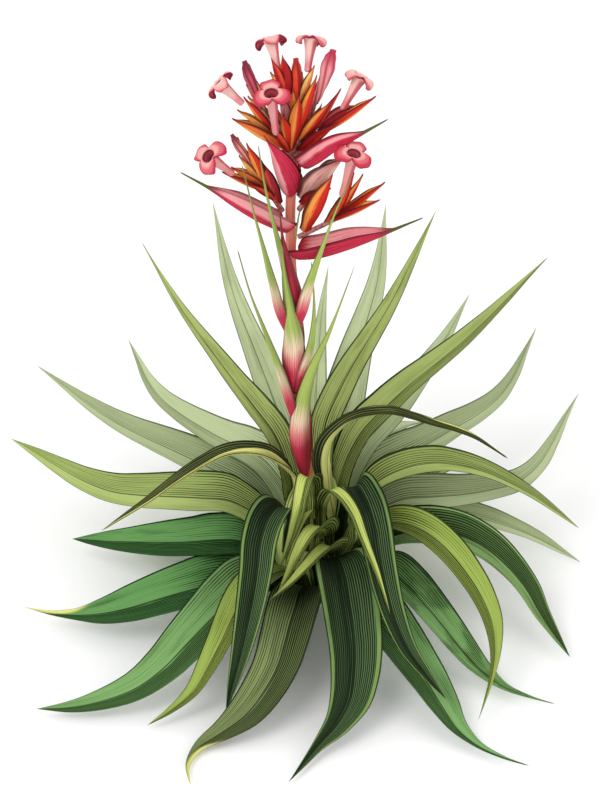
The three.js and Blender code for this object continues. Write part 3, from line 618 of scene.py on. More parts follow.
# %% Read a leaf's sections from the frame
def sections(name):
    """Left margin, midrib and right margin of each section, from the root to the tip."""
    shape = bmesh.new()
    shape.from_mesh(frame["nodes"][name].data)
    bmesh.ops.remove_doubles(shape, verts=shape.verts[:], dist=WELD)
    shape.verts.index_update()
    tip = max(shape.verts, key=lambda v: (len(v.link_edges), v.index))
    ring, seen, rings = [tip], {tip.index}, []
    while ring:
        rings.append([v.co.copy() for v in ring])
        near = {e.other_vert(v).index: e.other_vert(v) for v in ring for e in v.link_edges}
        ring = [near[i] for i in sorted(near) if i not in seen]
        seen |= {v.index for v in ring}
    shape.free()
    rings.reverse()
    core = sum(rings[0], Vector()) / len(rings[0])
    side = UP.cross(Vector((core.x, core.y, 0))).normalized()
    lines = []
    for points in rings[:-1]:
        left = min(points, key=lambda p: p.dot(side))
        right = max(points, key=lambda p: p.dot(side))
        half = (left + right) / 2
        spine = sorted(points, key=lambda p: abs((p - half).dot(side)))[:2]
        lines.append((left, (spine[0] + spine[1]) / 2, right))
        side = (right - left).normalized()
    lines.append((rings[-1][0],) * 3)
    return lines


crown_low, crown_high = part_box("crown")
print("height of the crown in mm:", round((crown_high.z - crown_low.z) / MM))

# %% Crown outline: radius and height in millimetres
CROWN_PROFILE = [(12, 0), (15.2, 5), (17, 13), (16.8, 23), (14.6, 34), (11.2, 45), (8, 53), (5, 58)]
CROWN_TOP = CROWN_PROFILE[-1][1] * MM


def crown_radius(height):
    """Radius of the crown at a height, in metres."""
    z = min(max(height / MM, 0), CROWN_PROFILE[-1][1])
    for (r0, z0), (r1, z1) in zip(CROWN_PROFILE, CROWN_PROFILE[1:]):
        if z <= z1:
            return (r0 + (r1 - r0) * (z - z0) / (z1 - z0)) * MM


print("crown radius at 20 mm:", round(crown_radius(20 * MM) / MM, 1), "mm")

# %% Sheath sections below a leaf's root
SHEATHS = 3
SHEATH_STEP = 5 * MM
SHEATH_LIFT = 0.5 * MM
SHEATH_TAPER = 0.12
EDGE_LIFT = 0.1 * MM
LOWEST = 1.2 * MM


def around(angle, radius=1.0):
    """Point of a level circle round the middle."""
    return Vector((math.cos(angle), math.sin(angle), 0)) * radius


def with_sheath(lines, half_width):
    """Sections with a sheath added below the first, which hugs the crown."""
    root = lines[0][1]
    heading = math.atan2(root.y, root.x)
    added = []
    for i in range(SHEATHS, 0, -1):
        z = root.z - SHEATH_STEP * i
        if z < LOWEST:
            continue
        radius = crown_radius(z)
        turn = half_width * (1.0 - SHEATH_TAPER * (i - 1)) / radius
        lift = SHEATH_LIFT * (SHEATHS + 1 - i) / SHEATHS
        left, right = (around(heading + sign * turn, radius + EDGE_LIFT) for sign in (-1, 1))
        added.append([p + UP * z for p in (left, around(heading, radius + lift), right)])
    return added + lines


print("sheath sections for each leaf: up to", SHEATHS)

# %% Look of each leaf: its paint, and the half in shade
# +1 is the half on the right of a leaf whose face is turned to you, -1 the other, and 0 is neither.
LEAF_LOOKS = {
    "low_left_1": ("emerald", 1), "low_left_2": ("emerald", 1), "low_left_3": ("jade", 1),
    "low_left_4": ("yellow", 1), "front_left_1": ("dark", -1), "front_left_2": ("olive", 1),
    "front_1": ("dark", -1), "front_right_1": ("jade", -1), "front_right_2": ("jade", 0),
    "front_right_3": ("dark", -1), "front_right_4": ("heart", -1), "front_right_5": ("yellow", -1),
    "low_right_1": ("leek", 1), "low_right_2": ("pale", 1), "side_left_1": ("lime", -1),
    "side_left_2": ("arch", -1), "side_right_1": ("green", 1), "side_right_2": ("arch", -1),
    "back_left_1": ("pale", -1), "back_left_2": ("pale", 1), "back_left_3": ("pale", 0),
    "back_1": ("pale", 0), "back_2": ("pale", 0), "back_right_1": ("pale", 0),
    "back_right_2": ("pale", 1), "back_right_3": ("pale", 1), "upper_left": ("green", 0),
    "upper_right_1": ("green", 0), "upper_right_2": ("green", -1), "young_1": ("heart", -1),
    "young_2": ("heart", 1), "young_3": ("heart", 1), "young_4": ("heart", -1), "young_5": ("heart", 1),
    "hidden_1": ("green", 1), "hidden_2": ("pale", -1), "hidden_3": ("green", 1),
    "hidden_4": ("jade", 1), "hidden_5": ("green", -1), "hidden_6": ("jade", -1),
}
GOLDEN_TIPS = {"low_left_2": -1, "front_left_2": 1}
NEEDLED = ("low_left_2", "front_left_2", "front_1", "front_right_1", "front_right_2", "front_right_5")
NEEDLE_ZONE = (0.62, 0.9)
NEEDLE_NARROWING = 0.6
slots = {row["node"]: row["material_slot"] for row in frame["record"]["subparts"]}
print("leaves:", len(LEAF_LOOKS))

# %% Thickness and foot of a leaf
LEAF_STATIONS = 64
LEAF_BODY = 1.2 * MM
LEAF_THINNING = 0.45
LEAF_START = 0.04
SHEATH_HALF = 6.5 * MM
SHEATH_SHARE = 0.42
# The frame's leaf is narrow at its root, as a share of its full width. The fine one is wider there.
FRAME_ROOT, FINE_ROOT, FULL_WIDTH_FROM = 0.36, 0.62, 0.3


def body_of(thickness, count, thinning, start):
    """Thickness at each section: none at the two ends, and thinner towards the tip."""
    body = []
    for i in range(count):
        share = i / (count - 1)
        body.append(thickness * (1 - thinning * share) * smooth_share(share, 0, start))
    return body[:-1] + [0.0]


def reshaped(name, lines):
    """The frame's sections with a wider foot, and for some leaves a thinner needle."""
    made = []
    for i, (left, middle, right) in enumerate(lines[:-1]):
        share = i / (len(lines) - 1)
        rise = smooth_share(share, 0, FULL_WIDTH_FROM)
        k = (FINE_ROOT + (1 - FINE_ROOT) * rise) / (FRAME_ROOT + (1 - FRAME_ROOT) * rise)
        if name in NEEDLED:
            k *= 1 - NEEDLE_NARROWING * smooth_share(share, *NEEDLE_ZONE)
        made.append((middle + (left - middle) * k, middle, middle + (right - middle) * k))
    return made + [lines[-1]]


print("a leaf is", round(LEAF_BODY / MM, 1), "mm thick near its root")


# %% Grow the leaves
def grow_leaf(name, paint, shaded, seed):
    lines = sections("leaf_" + name)
    widest = max((right - left).length for left, _, right in lines)
    lines = with_sheath(reshaped(name, lines), min(SHEATH_HALF, widest * SHEATH_SHARE))
    lefts, middles, rights = (list(line) for line in zip(*lines))
    middle, left, right = evenly(middles, LEAF_STATIONS, (lefts, rights))
    left[-1] = right[-1] = middle[-1]
    body = body_of(LEAF_BODY, LEAF_STATIONS, LEAF_THINNING, LEAF_START)
    finish = leaf_finish(name, paint, shaded, widest, seed, GOLDEN_TIPS.get(name, 0))
    mesh = blade(middle, left, right, body, finish, seed=seed * 7.0)
    return piece("blade_" + name, [mesh], slots["leaf_" + name], "leaf_" + name)


leaf_faces = 0
for number, (name, (paint, shaded)) in enumerate(LEAF_LOOKS.items()):
    leaf_faces += len(grow_leaf(name, paint, shaded, number).data.polygons)
print("leaf faces:", leaf_faces)

# %% [markdown]
# ## The crown
# The crown is the short stem inside the leaf bases. Most of it is hidden, yet from behind and below it
# shows between the leaves as a bulb of overlapping sheaths. A turned outline whose surface steps in and
# out on a spiral gives those edges without modelling every sheath as a piece of its own.


# %% A closed form from rings
POLE_CHART = 0.01


def shell(rings, poles, finish):
    """Closed mesh from rings of points and a point at each end, with a UV map around and along."""
    points = [poles[0]] + [p for ring in rings for p in ring] + [poles[1]]
    count = len(rings[0])
    faces, charts = [], []
    for i in range(len(rings) - 1):
        a, b = 1 + i * count, 1 + (i + 1) * count
        v0, v1 = (i + 1) / (len(rings) + 1), (i + 2) / (len(rings) + 1)
        for j in range(count):
            k = (j + 1) % count
            u0, u1 = j / count, (j + 1) / count
            faces.append((a + j, a + k, b + k, b + j))
            charts.append([(u0, v0), (u1, v0), (u1, v1), (u0, v1)])
    last = 1 + (len(rings) - 1) * count
    for j in range(count):
        k = (j + 1) % count
        u0, u1 = j / count, (j + 1) / count
        faces.append((0, 1 + k, 1 + j))
        charts.append([(u0, 0), (u1, 0), (u0, POLE_CHART)])
        faces.append((len(points) - 1, last + j, last + k))
        charts.append([(u0, 1), (u0, 1 - POLE_CHART), (u1, 1 - POLE_CHART)])
    mesh = bpy.data.meshes.new("turned")
    mesh.from_pydata(points, [], faces)
    flat = [number for corners in charts for corner in corners for number in corner]
    mesh.uv_layers.new(name="UVMap").data.foreach_set("uv", flat)
    mesh.materials.append(finish)
    mesh.validate()
    return mesh


print("turned forms can be made")


# %% Sheath finish
def on_the_body(web, scale):
    """The piece's own place, and fibres of noise that the scale stretches."""
    spot = web.node("ShaderNodeTexCoord").output("Object")
    return spot, web.noise(web.node("ShaderNodeMapping", sockets={"Vector": spot, "Scale": scale}))


sheath_finish, web = fresh_finish("sheath")
spot, fibre = on_the_body(web, (900.0, 900.0, 60.0))
colour = web.mix(web.ease(web.noise(spot, 90.0, 3.0), 0.35, 0.65), tint(172, 194, 104), tint(202, 214, 130))
colour = web.mix(web.ease(fibre, 0.5, 0.75) * 0.45, colour, tint(84, 104, 46))
shader_out(web, colour, 0.6 + fibre * 0.1, fibre, Specular_IOR_Level=0.3)
print("sheath finish is ready")

# %% Turn the crown
CROWN_SECTORS = 96
CROWN_ROWS = 44
SPIRALS = 5
SPIRAL_RISE = 9 * MM
SPIRAL_STEP = 0.5 * MM
FLAT_FOOT = 3 * MM
rings = []
for i in range(CROWN_ROWS):
    z = CROWN_TOP * i / (CROWN_ROWS - 1)
    ring = []
    for j in range(CROWN_SECTORS):
        angle = 2 * math.pi * j / CROWN_SECTORS
        winding = SPIRALS * j / CROWN_SECTORS + z / SPIRAL_RISE
        step = SPIRAL_STEP * (winding % 1.0) * smooth_share(z, 0, FLAT_FOOT)
        radius = crown_radius(z) - step
        ring.append((radius * math.cos(angle), radius * math.sin(angle), z))
    rings.append(ring)
crown_mesh = shell(rings, ((0, 0, 0), (0, 0, CROWN_TOP)), sheath_finish)
crown = piece("crown_sheaths", [crown_mesh], "sheath", "crown")
print("crown faces:", len(crown.data.polygons))

# %% [markdown]
# ## Bracts
# A bract is a small leaf that stands under a flower. On this plant the stalk bracts swell at the base and
# end in long green needles, the primary bracts are boat-shaped and crimson, and the floral bracts are
# short keeled lances in orange and red. All of them are blades, so the same tree makes them. Only their
# width laws, their channels and their finishes differ.


# %% Lines of a bract from its width law
def blade_lines(points, side, width_at, rise, count):
    """Middle, left and right lines of a blade along a curve. rise is the channel depth over the width."""
    middle = evenly([Vector(p) * MM for p in points], count)[0]
    left, right = [], []
    for i in range(count):
        along = (middle[min(i + 1, count - 1)] - middle[max(i - 1, 0)]).normalized()
        side = (side - along * side.dot(along)).normalized()
        width = width_at(i / (count - 1)) * MM
        lift = along.cross(side) * (rise * width)
        left.append(middle[i] - side * (width / 2) + lift)
        right.append(middle[i] + side * (width / 2) + lift)
    return middle, left, right


FOOT_WIDTH, FOOT_END, FOOT_ROUND = 0.35, 0.05, 0.6
NEEDLE_ROUND = 0.8


def bract_width(width, root, belly, neck, fullness, needle):
    """Width law: a rounded foot, a belly, sides that close at the neck, and a needle.

    root is the share of the width at the root, belly and neck are places along, and fullness keeps the
    sides apart.
    """
    def law(t):
        foot = min(1, FOOT_WIDTH + t / FOOT_END) ** FOOT_ROUND
        swell = root + (1 - root) * smooth_share(t, 0, belly)
        closing = min(max((t - belly) / (neck - belly), 0), 1) ** fullness
        body = width * swell * (1 - smooth_share(closing, 0, 1)) * foot
        return max(body, needle * (1 - t) ** NEEDLE_ROUND)
    return law


BRACT_THINNING, BRACT_START = 0.5, 0.05
BRACT_HABIT = {"keel_depth": 0.0, "ribs": 4.0, "margin_wave": 0.2 * MM}


def bract_mesh(points, out, law, finish, rise, thick, count, panels, rib_depth=0.06 * MM):
    """Bract along points in millimetres, whose back faces out. rise and thick shape its section."""
    middle, left, right = blade_lines(points, UP.cross(out), law, rise, count)
    body = body_of(thick * MM, count, BRACT_THINNING, BRACT_START)
    return blade(middle, left, right, body, finish, panels, rib_depth=rib_depth, **BRACT_HABIT)


print("bract rule is ready")

# %% Finish of the stalk bracts
PINKS = (tint(216, 60, 90), tint(190, 34, 66))
GREEN_STEPS = [
    (0.15, 0.22, tint(228, 124, 128)),
    (0.21, 0.29, tint(238, 208, 178)),
    (0.29, 0.4, tint(166, 186, 92)),
    (0.75, 0.95, tint(134, 150, 62)),
]
CRIMSON_STEPS = [(0.3, 0.5, tint(168, 34, 60)), (0.85, 0.98, tint(120, 90, 50))]
STREAK_SHIFT = 0.17


def scape_bract_finish(seed, crimson):
    """crimson: this bract has no cream band and keeps its base colour nearly to the tip."""
    finish, web, across, off, along, wash, streak = charted_finish(
        f"scape_bract_{seed}", (1.5, 6.0, 3.0, seed * 2.3), (14.0, 5.0, 2.0, seed * 1.7)
    )
    place = along + (streak - 0.5) * STREAK_SHIFT
    colour = fade(web, place, web.mix(wash, *PINKS), CRIMSON_STEPS if crimson else GREEN_STEPS)
    ink = tint(120, 18, 40)
    if not crimson:
        ink = web.mix(web.ease(along, 0.2, 0.3), tint(130, 20, 44), tint(84, 98, 40))
    lines = wave_lines(web, across * 5.0 + streak, 4.0) * web.ease(streak, 0.4, 0.6)
    colour = web.coats(
        colour,
        (lines * 0.55, ink),
        # painted shade: the bract darkens towards one side
        (web.ease(across, 0.1, 0.9) * 0.45, ink),
        (web.ease(off, 0.86, 0.99) * 0.7, tint(84, 60, 34)),
    )
    shader_out(web, colour, 0.55 + wash * 0.1, lines * -0.6 + streak * 0.3, Specular_IOR_Level=0.35)
    return finish


print("steps of a green bract:", len(GREEN_STEPS))

# %% Finish of the primary bracts
CRIMSONS = (tint(216, 54, 86), tint(184, 26, 56))
PALE_FACE_AND_HIGHLIGHT = (tint(248, 184, 184), tint(234, 140, 150))
NEEDLE_STEPS = [(0.62, 0.76, tint(140, 40, 50)), (0.7, 0.8, tint(88, 100, 42))]
HOOD_STEPS = [(0.8, 1.0, tint(128, 20, 44))]
BAND_BLUR = 0.1


def primary_bract_finish(seed, band, needled):
    """band: where its pale face, partly its own colour and partly a painted highlight, starts and ends
    across it, and if both halves have it.

    needled: it ends in a green needle.
    """
    finish, web, across, off, along, wash, streak = charted_finish(
        f"primary_bract_{seed}", (1.5, 5.0, 3.0, seed * 2.9), (12.0, 5.0, 2.0, seed * 1.3)
    )
    low, high, both = band
    place = (off if both else across) + (wash - 0.5) * 0.2
    # The pale band is partly the bract's own pale face and partly a painted highlight.
    pale = web.ease(place, low - BAND_BLUR, low + BAND_BLUR)
    pale = pale * (1 - web.ease(place, high - BAND_BLUR, high + BAND_BLUR)) * web.ease(along, 0.02, 0.12)
    colour = web.mix(pale * 0.92, web.mix(wash, *CRIMSONS), web.mix(wash, *PALE_FACE_AND_HIGHLIGHT))
    colour = fade(web, along, colour, NEEDLE_STEPS if needled else HOOD_STEPS)
    # Painted shade: the lines grow heavier away from the pale band and towards the margins.
    waves = web.math("COSINE", (across * 8.0 + streak * 0.7) * (2 * math.pi))
    lines = web.ease(waves + (streak - 0.5) * 1.6 - pale * 0.5 + (off - 0.6) * 0.6 - 0.3, 0.0, 0.9)
    edge = web.ease(off, 0.88, 0.96) * (0.85 - pale * 0.35)
    colour = web.coats(colour, (lines * 0.7, tint(112, 12, 32)), (edge, tint(92, 10, 28)))
    shader_out(web, colour, 0.55 + wash * 0.12, lines * -0.6 + streak * 0.3, Specular_IOR_Level=0.2)
    return finish


print("blur of a pale band:", BAND_BLUR)

# %% Finish of the floral bracts
FLORAL_TONES = {
    # name: lit half, half in painted shade
    "ember": ((246, 152, 66), (208, 40, 26)),
    "honey": ((248, 188, 104), (186, 32, 28)),
    "scarlet": ((222, 74, 44), (174, 24, 26)),
    "amber": ((248, 178, 92), (232, 112, 48)),
    "gold": ((250, 204, 124), (238, 160, 78)),
    "wine": ((208, 78, 66), (156, 34, 44)),
    "crimson": ((240, 110, 118), (206, 44, 70)),
    "rose": ((226, 140, 142), (182, 84, 96)),
    "mauve": ((248, 208, 194), (226, 172, 160)),
}
FLORAL_INK = tint(120, 16, 18)
KEEL_SHIFT = 0.52


def floral_bract_finish(tone, bright_side, turned):
    """bright_side is the lit half, +1 or -1; the other half is in painted shade.

    turned is where the keel points, -1 to 1, and moves the border of the halves.
    """
    name = f"floral_{tone}_{'right' if bright_side > 0 else 'left'}_{turned}"
    if name in bpy.data.materials:
        return bpy.data.materials[name]
    bright, deep = tints(FLORAL_TONES[tone])
    finish, web, across, off, along, wash, streak = charted_finish(
        name, (1.6, 4.0, 3.0, len(tone) * 1.9), (11.0, 4.0, 2.0, len(tone) * 1.1)
    )
    place = (across + KEEL_SHIFT * turned) * float(bright_side) + (wash - 0.5) * 0.3
    half = web.ease(place, -0.1, 0.14)
    colour = fade(web, along, web.mix(half, deep, bright), [(0.72, 1.0, tint(176, 30, 30))])
    lines = wave_lines(web, across * 6.0 + streak, 5.0) * web.ease(streak, 0.42, 0.6)
    # Painted shade: the foot of a bract, deep in the head, is darker, less so on its lit half.
    low = (1 - web.ease(along + (streak - 0.5) * 0.2, 0.1, 0.5)) * (1 - half * 0.6)
    colour = web.coats(
        colour,
        (low * 0.4, FLORAL_INK),
        (lines * 0.6, FLORAL_INK),
        ((1 - web.ease(off, 0.02, 0.1)) * 0.35, tint(150, 24, 24)),
        (web.ease(off, 0.8, 0.92) * 0.9, tint(70, 10, 16)),
    )
    shader_out(web, colour, 0.5 + wash * 0.1, lines * -0.5 + streak * 0.3, Specular_IOR_Level=0.2)
    return finish


print("tones of the floral bracts:", ", ".join(FLORAL_TONES))

# %% [markdown]
# ## The flower stalk
# The stalk is a leaning salmon rod that its bracts sheathe. A rod that follows a path is work for
# Geometry Nodes: the chain of points becomes a curve, a circle is swept along it, and the ends are capped.

# %% The Geometry Nodes tree of a rod
ROD_INPUTS = {
    "Sectors": ("NodeSocketInt", 20),
    "Finish": ("NodeSocketMaterial", None),
}


def rod_tree():
    tree, keys = new_tree("Rod", ROD_INPUTS)
    web = Web(tree)
    given = web.node("NodeGroupInput")
    path = web.node("GeometryNodeMeshToCurve", sockets={0: given})
    ring = web.node(
        "GeometryNodeCurvePrimitiveCircle",
        {"mode": "RADIUS"},
        {"Resolution": given.output("Sectors"), "Radius": 1.0},
    )
    girth = web.node("GeometryNodeInputNamedAttribute", {"data_type": "FLOAT"}, {"Name": "girth"})
    skin = web.node(
        "GeometryNodeCurveToMesh",
        sockets={"Curve": path, "Profile Curve": ring, "Scale": girth, "Fill Caps": True},
    )
    end_tree(web, skin, given.output("Finish"))
    return tree, keys


ROD = rod_tree()


def rod_mesh(points, girth_from, girth_to, finish, count=40, sectors=20):
    """Rod along points in millimetres, with a radius that changes from one end to the other."""
    middle = evenly([Vector(p) * MM for p in points], count)[0]
    girth = [(girth_from + (girth_to - girth_from) * i / (count - 1)) * MM for i in range(count)]
    return grown(ROD, chain(middle, {"girth": girth}, {}), {"Sectors": sectors, "Finish": finish})


print("rod tree:", len(ROD[0].nodes), "nodes")

# %% Finishes of the stalk and of the thin axes
stalk_finish, web = fresh_finish("stalk")
spot, fibre = on_the_body(web, (1500.0, 1500.0, 90.0))
colour = web.mix(web.noise(spot, 160.0), tint(242, 162, 138), tint(224, 122, 102))
colour = web.mix(web.ease(fibre, 0.5, 0.7) * 0.5, colour, tint(168, 66, 60))
shader_out(web, colour, 0.55 + fibre * 0.1, fibre, Specular_IOR_Level=0.35)

axis_finish, web = fresh_finish("spike_axis")
grain = web.noise(web.node("ShaderNodeTexCoord").output("Object"), 900.0)
colour = web.mix(web.ease(grain, 0.4, 0.7), tint(196, 138, 128), tint(140, 82, 80))
shader_out(web, colour, 0.6 + grain * 0.1, grain, Specular_IOR_Level=0.3)
print("stalk finishes are ready")

# %% Stalk bracts: points, the heading that their backs face, and the width at the belly
STALK = [
    (-3, -1, 57.5), (-5, -1.5, 75), (-8, -2, 98), (-9.5, -2, 129), (-10, -2, 164), (-10, -1, 187),
    (-9, 0, 206),
]
STALK_GIRTH = (2.2, 1.9)
STALK_BRACTS = [
    ([(-3.6, -3.2, 57.6), (-6, -6, 76), (-5.5, -8, 94), (-2, -9, 112), (5.5, -7, 132),
      (15, -4, 161)], 275, 8.8),
    ([(-8.8, -3, 84), (-13, -5, 100), (-15.5, -5.5, 112), (-21.5, -5, 133), (-26, -4, 148),
      (-30.5, -3, 167)], 195, 7.5),
    ([(-8.2, -3.6, 98), (-9, -7, 115), (-9, -8.5, 128), (-10.5, -9.5, 142), (-12.5, -11, 160),
      (-14, -13, 188)], 268, 9.6),
    ([(-6.4, -2.6, 99), (-3, -4, 113), (-1, -3, 123), (-0.5, -1, 137), (-2, 4, 157)], 345, 7.5),
    ([(-10.4, -3, 125), (-15.5, -7, 140), (-18, -11, 156), (-21, -18, 178), (-24.5, -20, 197),
      (-28, -20, 215)], 200, 7),
    ([(-8, -3.2, 128), (-4, -7, 141), (-1.5, -11, 156), (3, -17, 178), (7.5, -19, 195),
      (13, -19, 209)], 330, 7),
    ([(-8.8, -3.6, 131), (-9, -6.5, 146), (-11, -9, 162), (-13, -13, 178), (-14.5, -15.5, 196)], 265, 7),
    ([(-10.4, -3, 143), (-13.5, -8, 163), (-16.5, -16, 185), (-19.5, -17.5, 203), (-22, -17.5, 222)],
     220, 4.5),
    ([(-4.5, -0.4, 66), (-6, 4, 82), (-7, 7, 98), (-9, 11, 120), (-9, 19, 150)], 90, 9),
    ([(-8.6, -1, 108), (-8.5, 3.4, 124), (-9, 6, 138), (-9, 9, 158), (-5, 14, 184)], 90, 8),
]
# A form is the width law's root, belly, neck, fullness and needle. A body is the rest of bract_mesh.
STALK_FORM = (0.72, 0.2, 1.0, 0.72, 3.0)
STALK_BODY = {"rise": 0.45, "thick": 0.9, "count": 48, "panels": 16}
WHOLLY_CRIMSON = 6
parts = [rod_mesh(STALK, *STALK_GIRTH, stalk_finish)]
for seed, (points, facing, width) in enumerate(STALK_BRACTS):
    out, law = around(math.radians(facing)), bract_width(width, *STALK_FORM)
    finish = scape_bract_finish(seed, seed == WHOLLY_CRIMSON)
    parts.append(bract_mesh(points, out, law, finish, **STALK_BODY))
piece("stalk_and_bracts", parts, "scape", "flower_stalk")
print("stalk bracts:", len(STALK_BRACTS))

# %% Primary bracts: node, points, facing, width, form, and the band across that is pale, partly a painted highlight
BOAT_FORM = (0.95, 0.22, 0.86, 1.7, 5.2)
HOOD_FORM = (1.0, 0.12, 1.0, 1.7, 0.8)
PRIMARY_BODY = {"rise": 0.52, "thick": 1.0, "count": 48, "panels": 20}
PRIMARY_BRACTS = [
    ("right", [(-7.8, -4, 163.5), (1.5, -9, 167.5), (11, -12, 172.5), (21, -13, 177.5), (40.5, -13, 187.5)],
     330, 13, BOAT_FORM, (-0.02, 1.2, False)),
    ("left", [(-12.2, -3.7, 175), (-23, -10, 184.5), (-32, -12.5, 192.5), (-40, -13, 199.5),
              (-51.5, -13, 207.5)], 215, 12.5, BOAT_FORM, (0.62, 1.2, True)),
    ("front", [(-10.4, -4, 191), (-12.8, -10, 203), (-15.8, -12, 213.5), (-20, -12, 223)],
     258, 10.6, HOOD_FORM, (-0.78, 0.05, False)),
    ("upper", [(-4, -3.2, 203), (1, -9.5, 210), (7.5, -11.5, 216.5), (15.5, -11, 221.5), (26.5, -10, 228.5)],
     300, 10.5, BOAT_FORM, (-0.88, -0.68, False)),
]
for seed, (name, points, facing, width, form, band) in enumerate(PRIMARY_BRACTS):
    out, law = around(math.radians(facing)), bract_width(width, *form)
    finish = primary_bract_finish(seed, band, form is BOAT_FORM)
    mesh = bract_mesh(points, out, law, finish, **PRIMARY_BODY)
    piece("bract_" + name, [mesh], "primary_bract", "primary_bract_" + name)
print("primary bracts:", len(PRIMARY_BRACTS))

# %% [markdown]
# ## The spikes
# Each spike is a few thin axes with keeled floral bracts round them and closed buds between them. A bract
# turns its keel away from a line that stands behind the stalk, and bows a little outwards. One half of a
# bract is bright and the other deep, as they are where light falls on a keel.

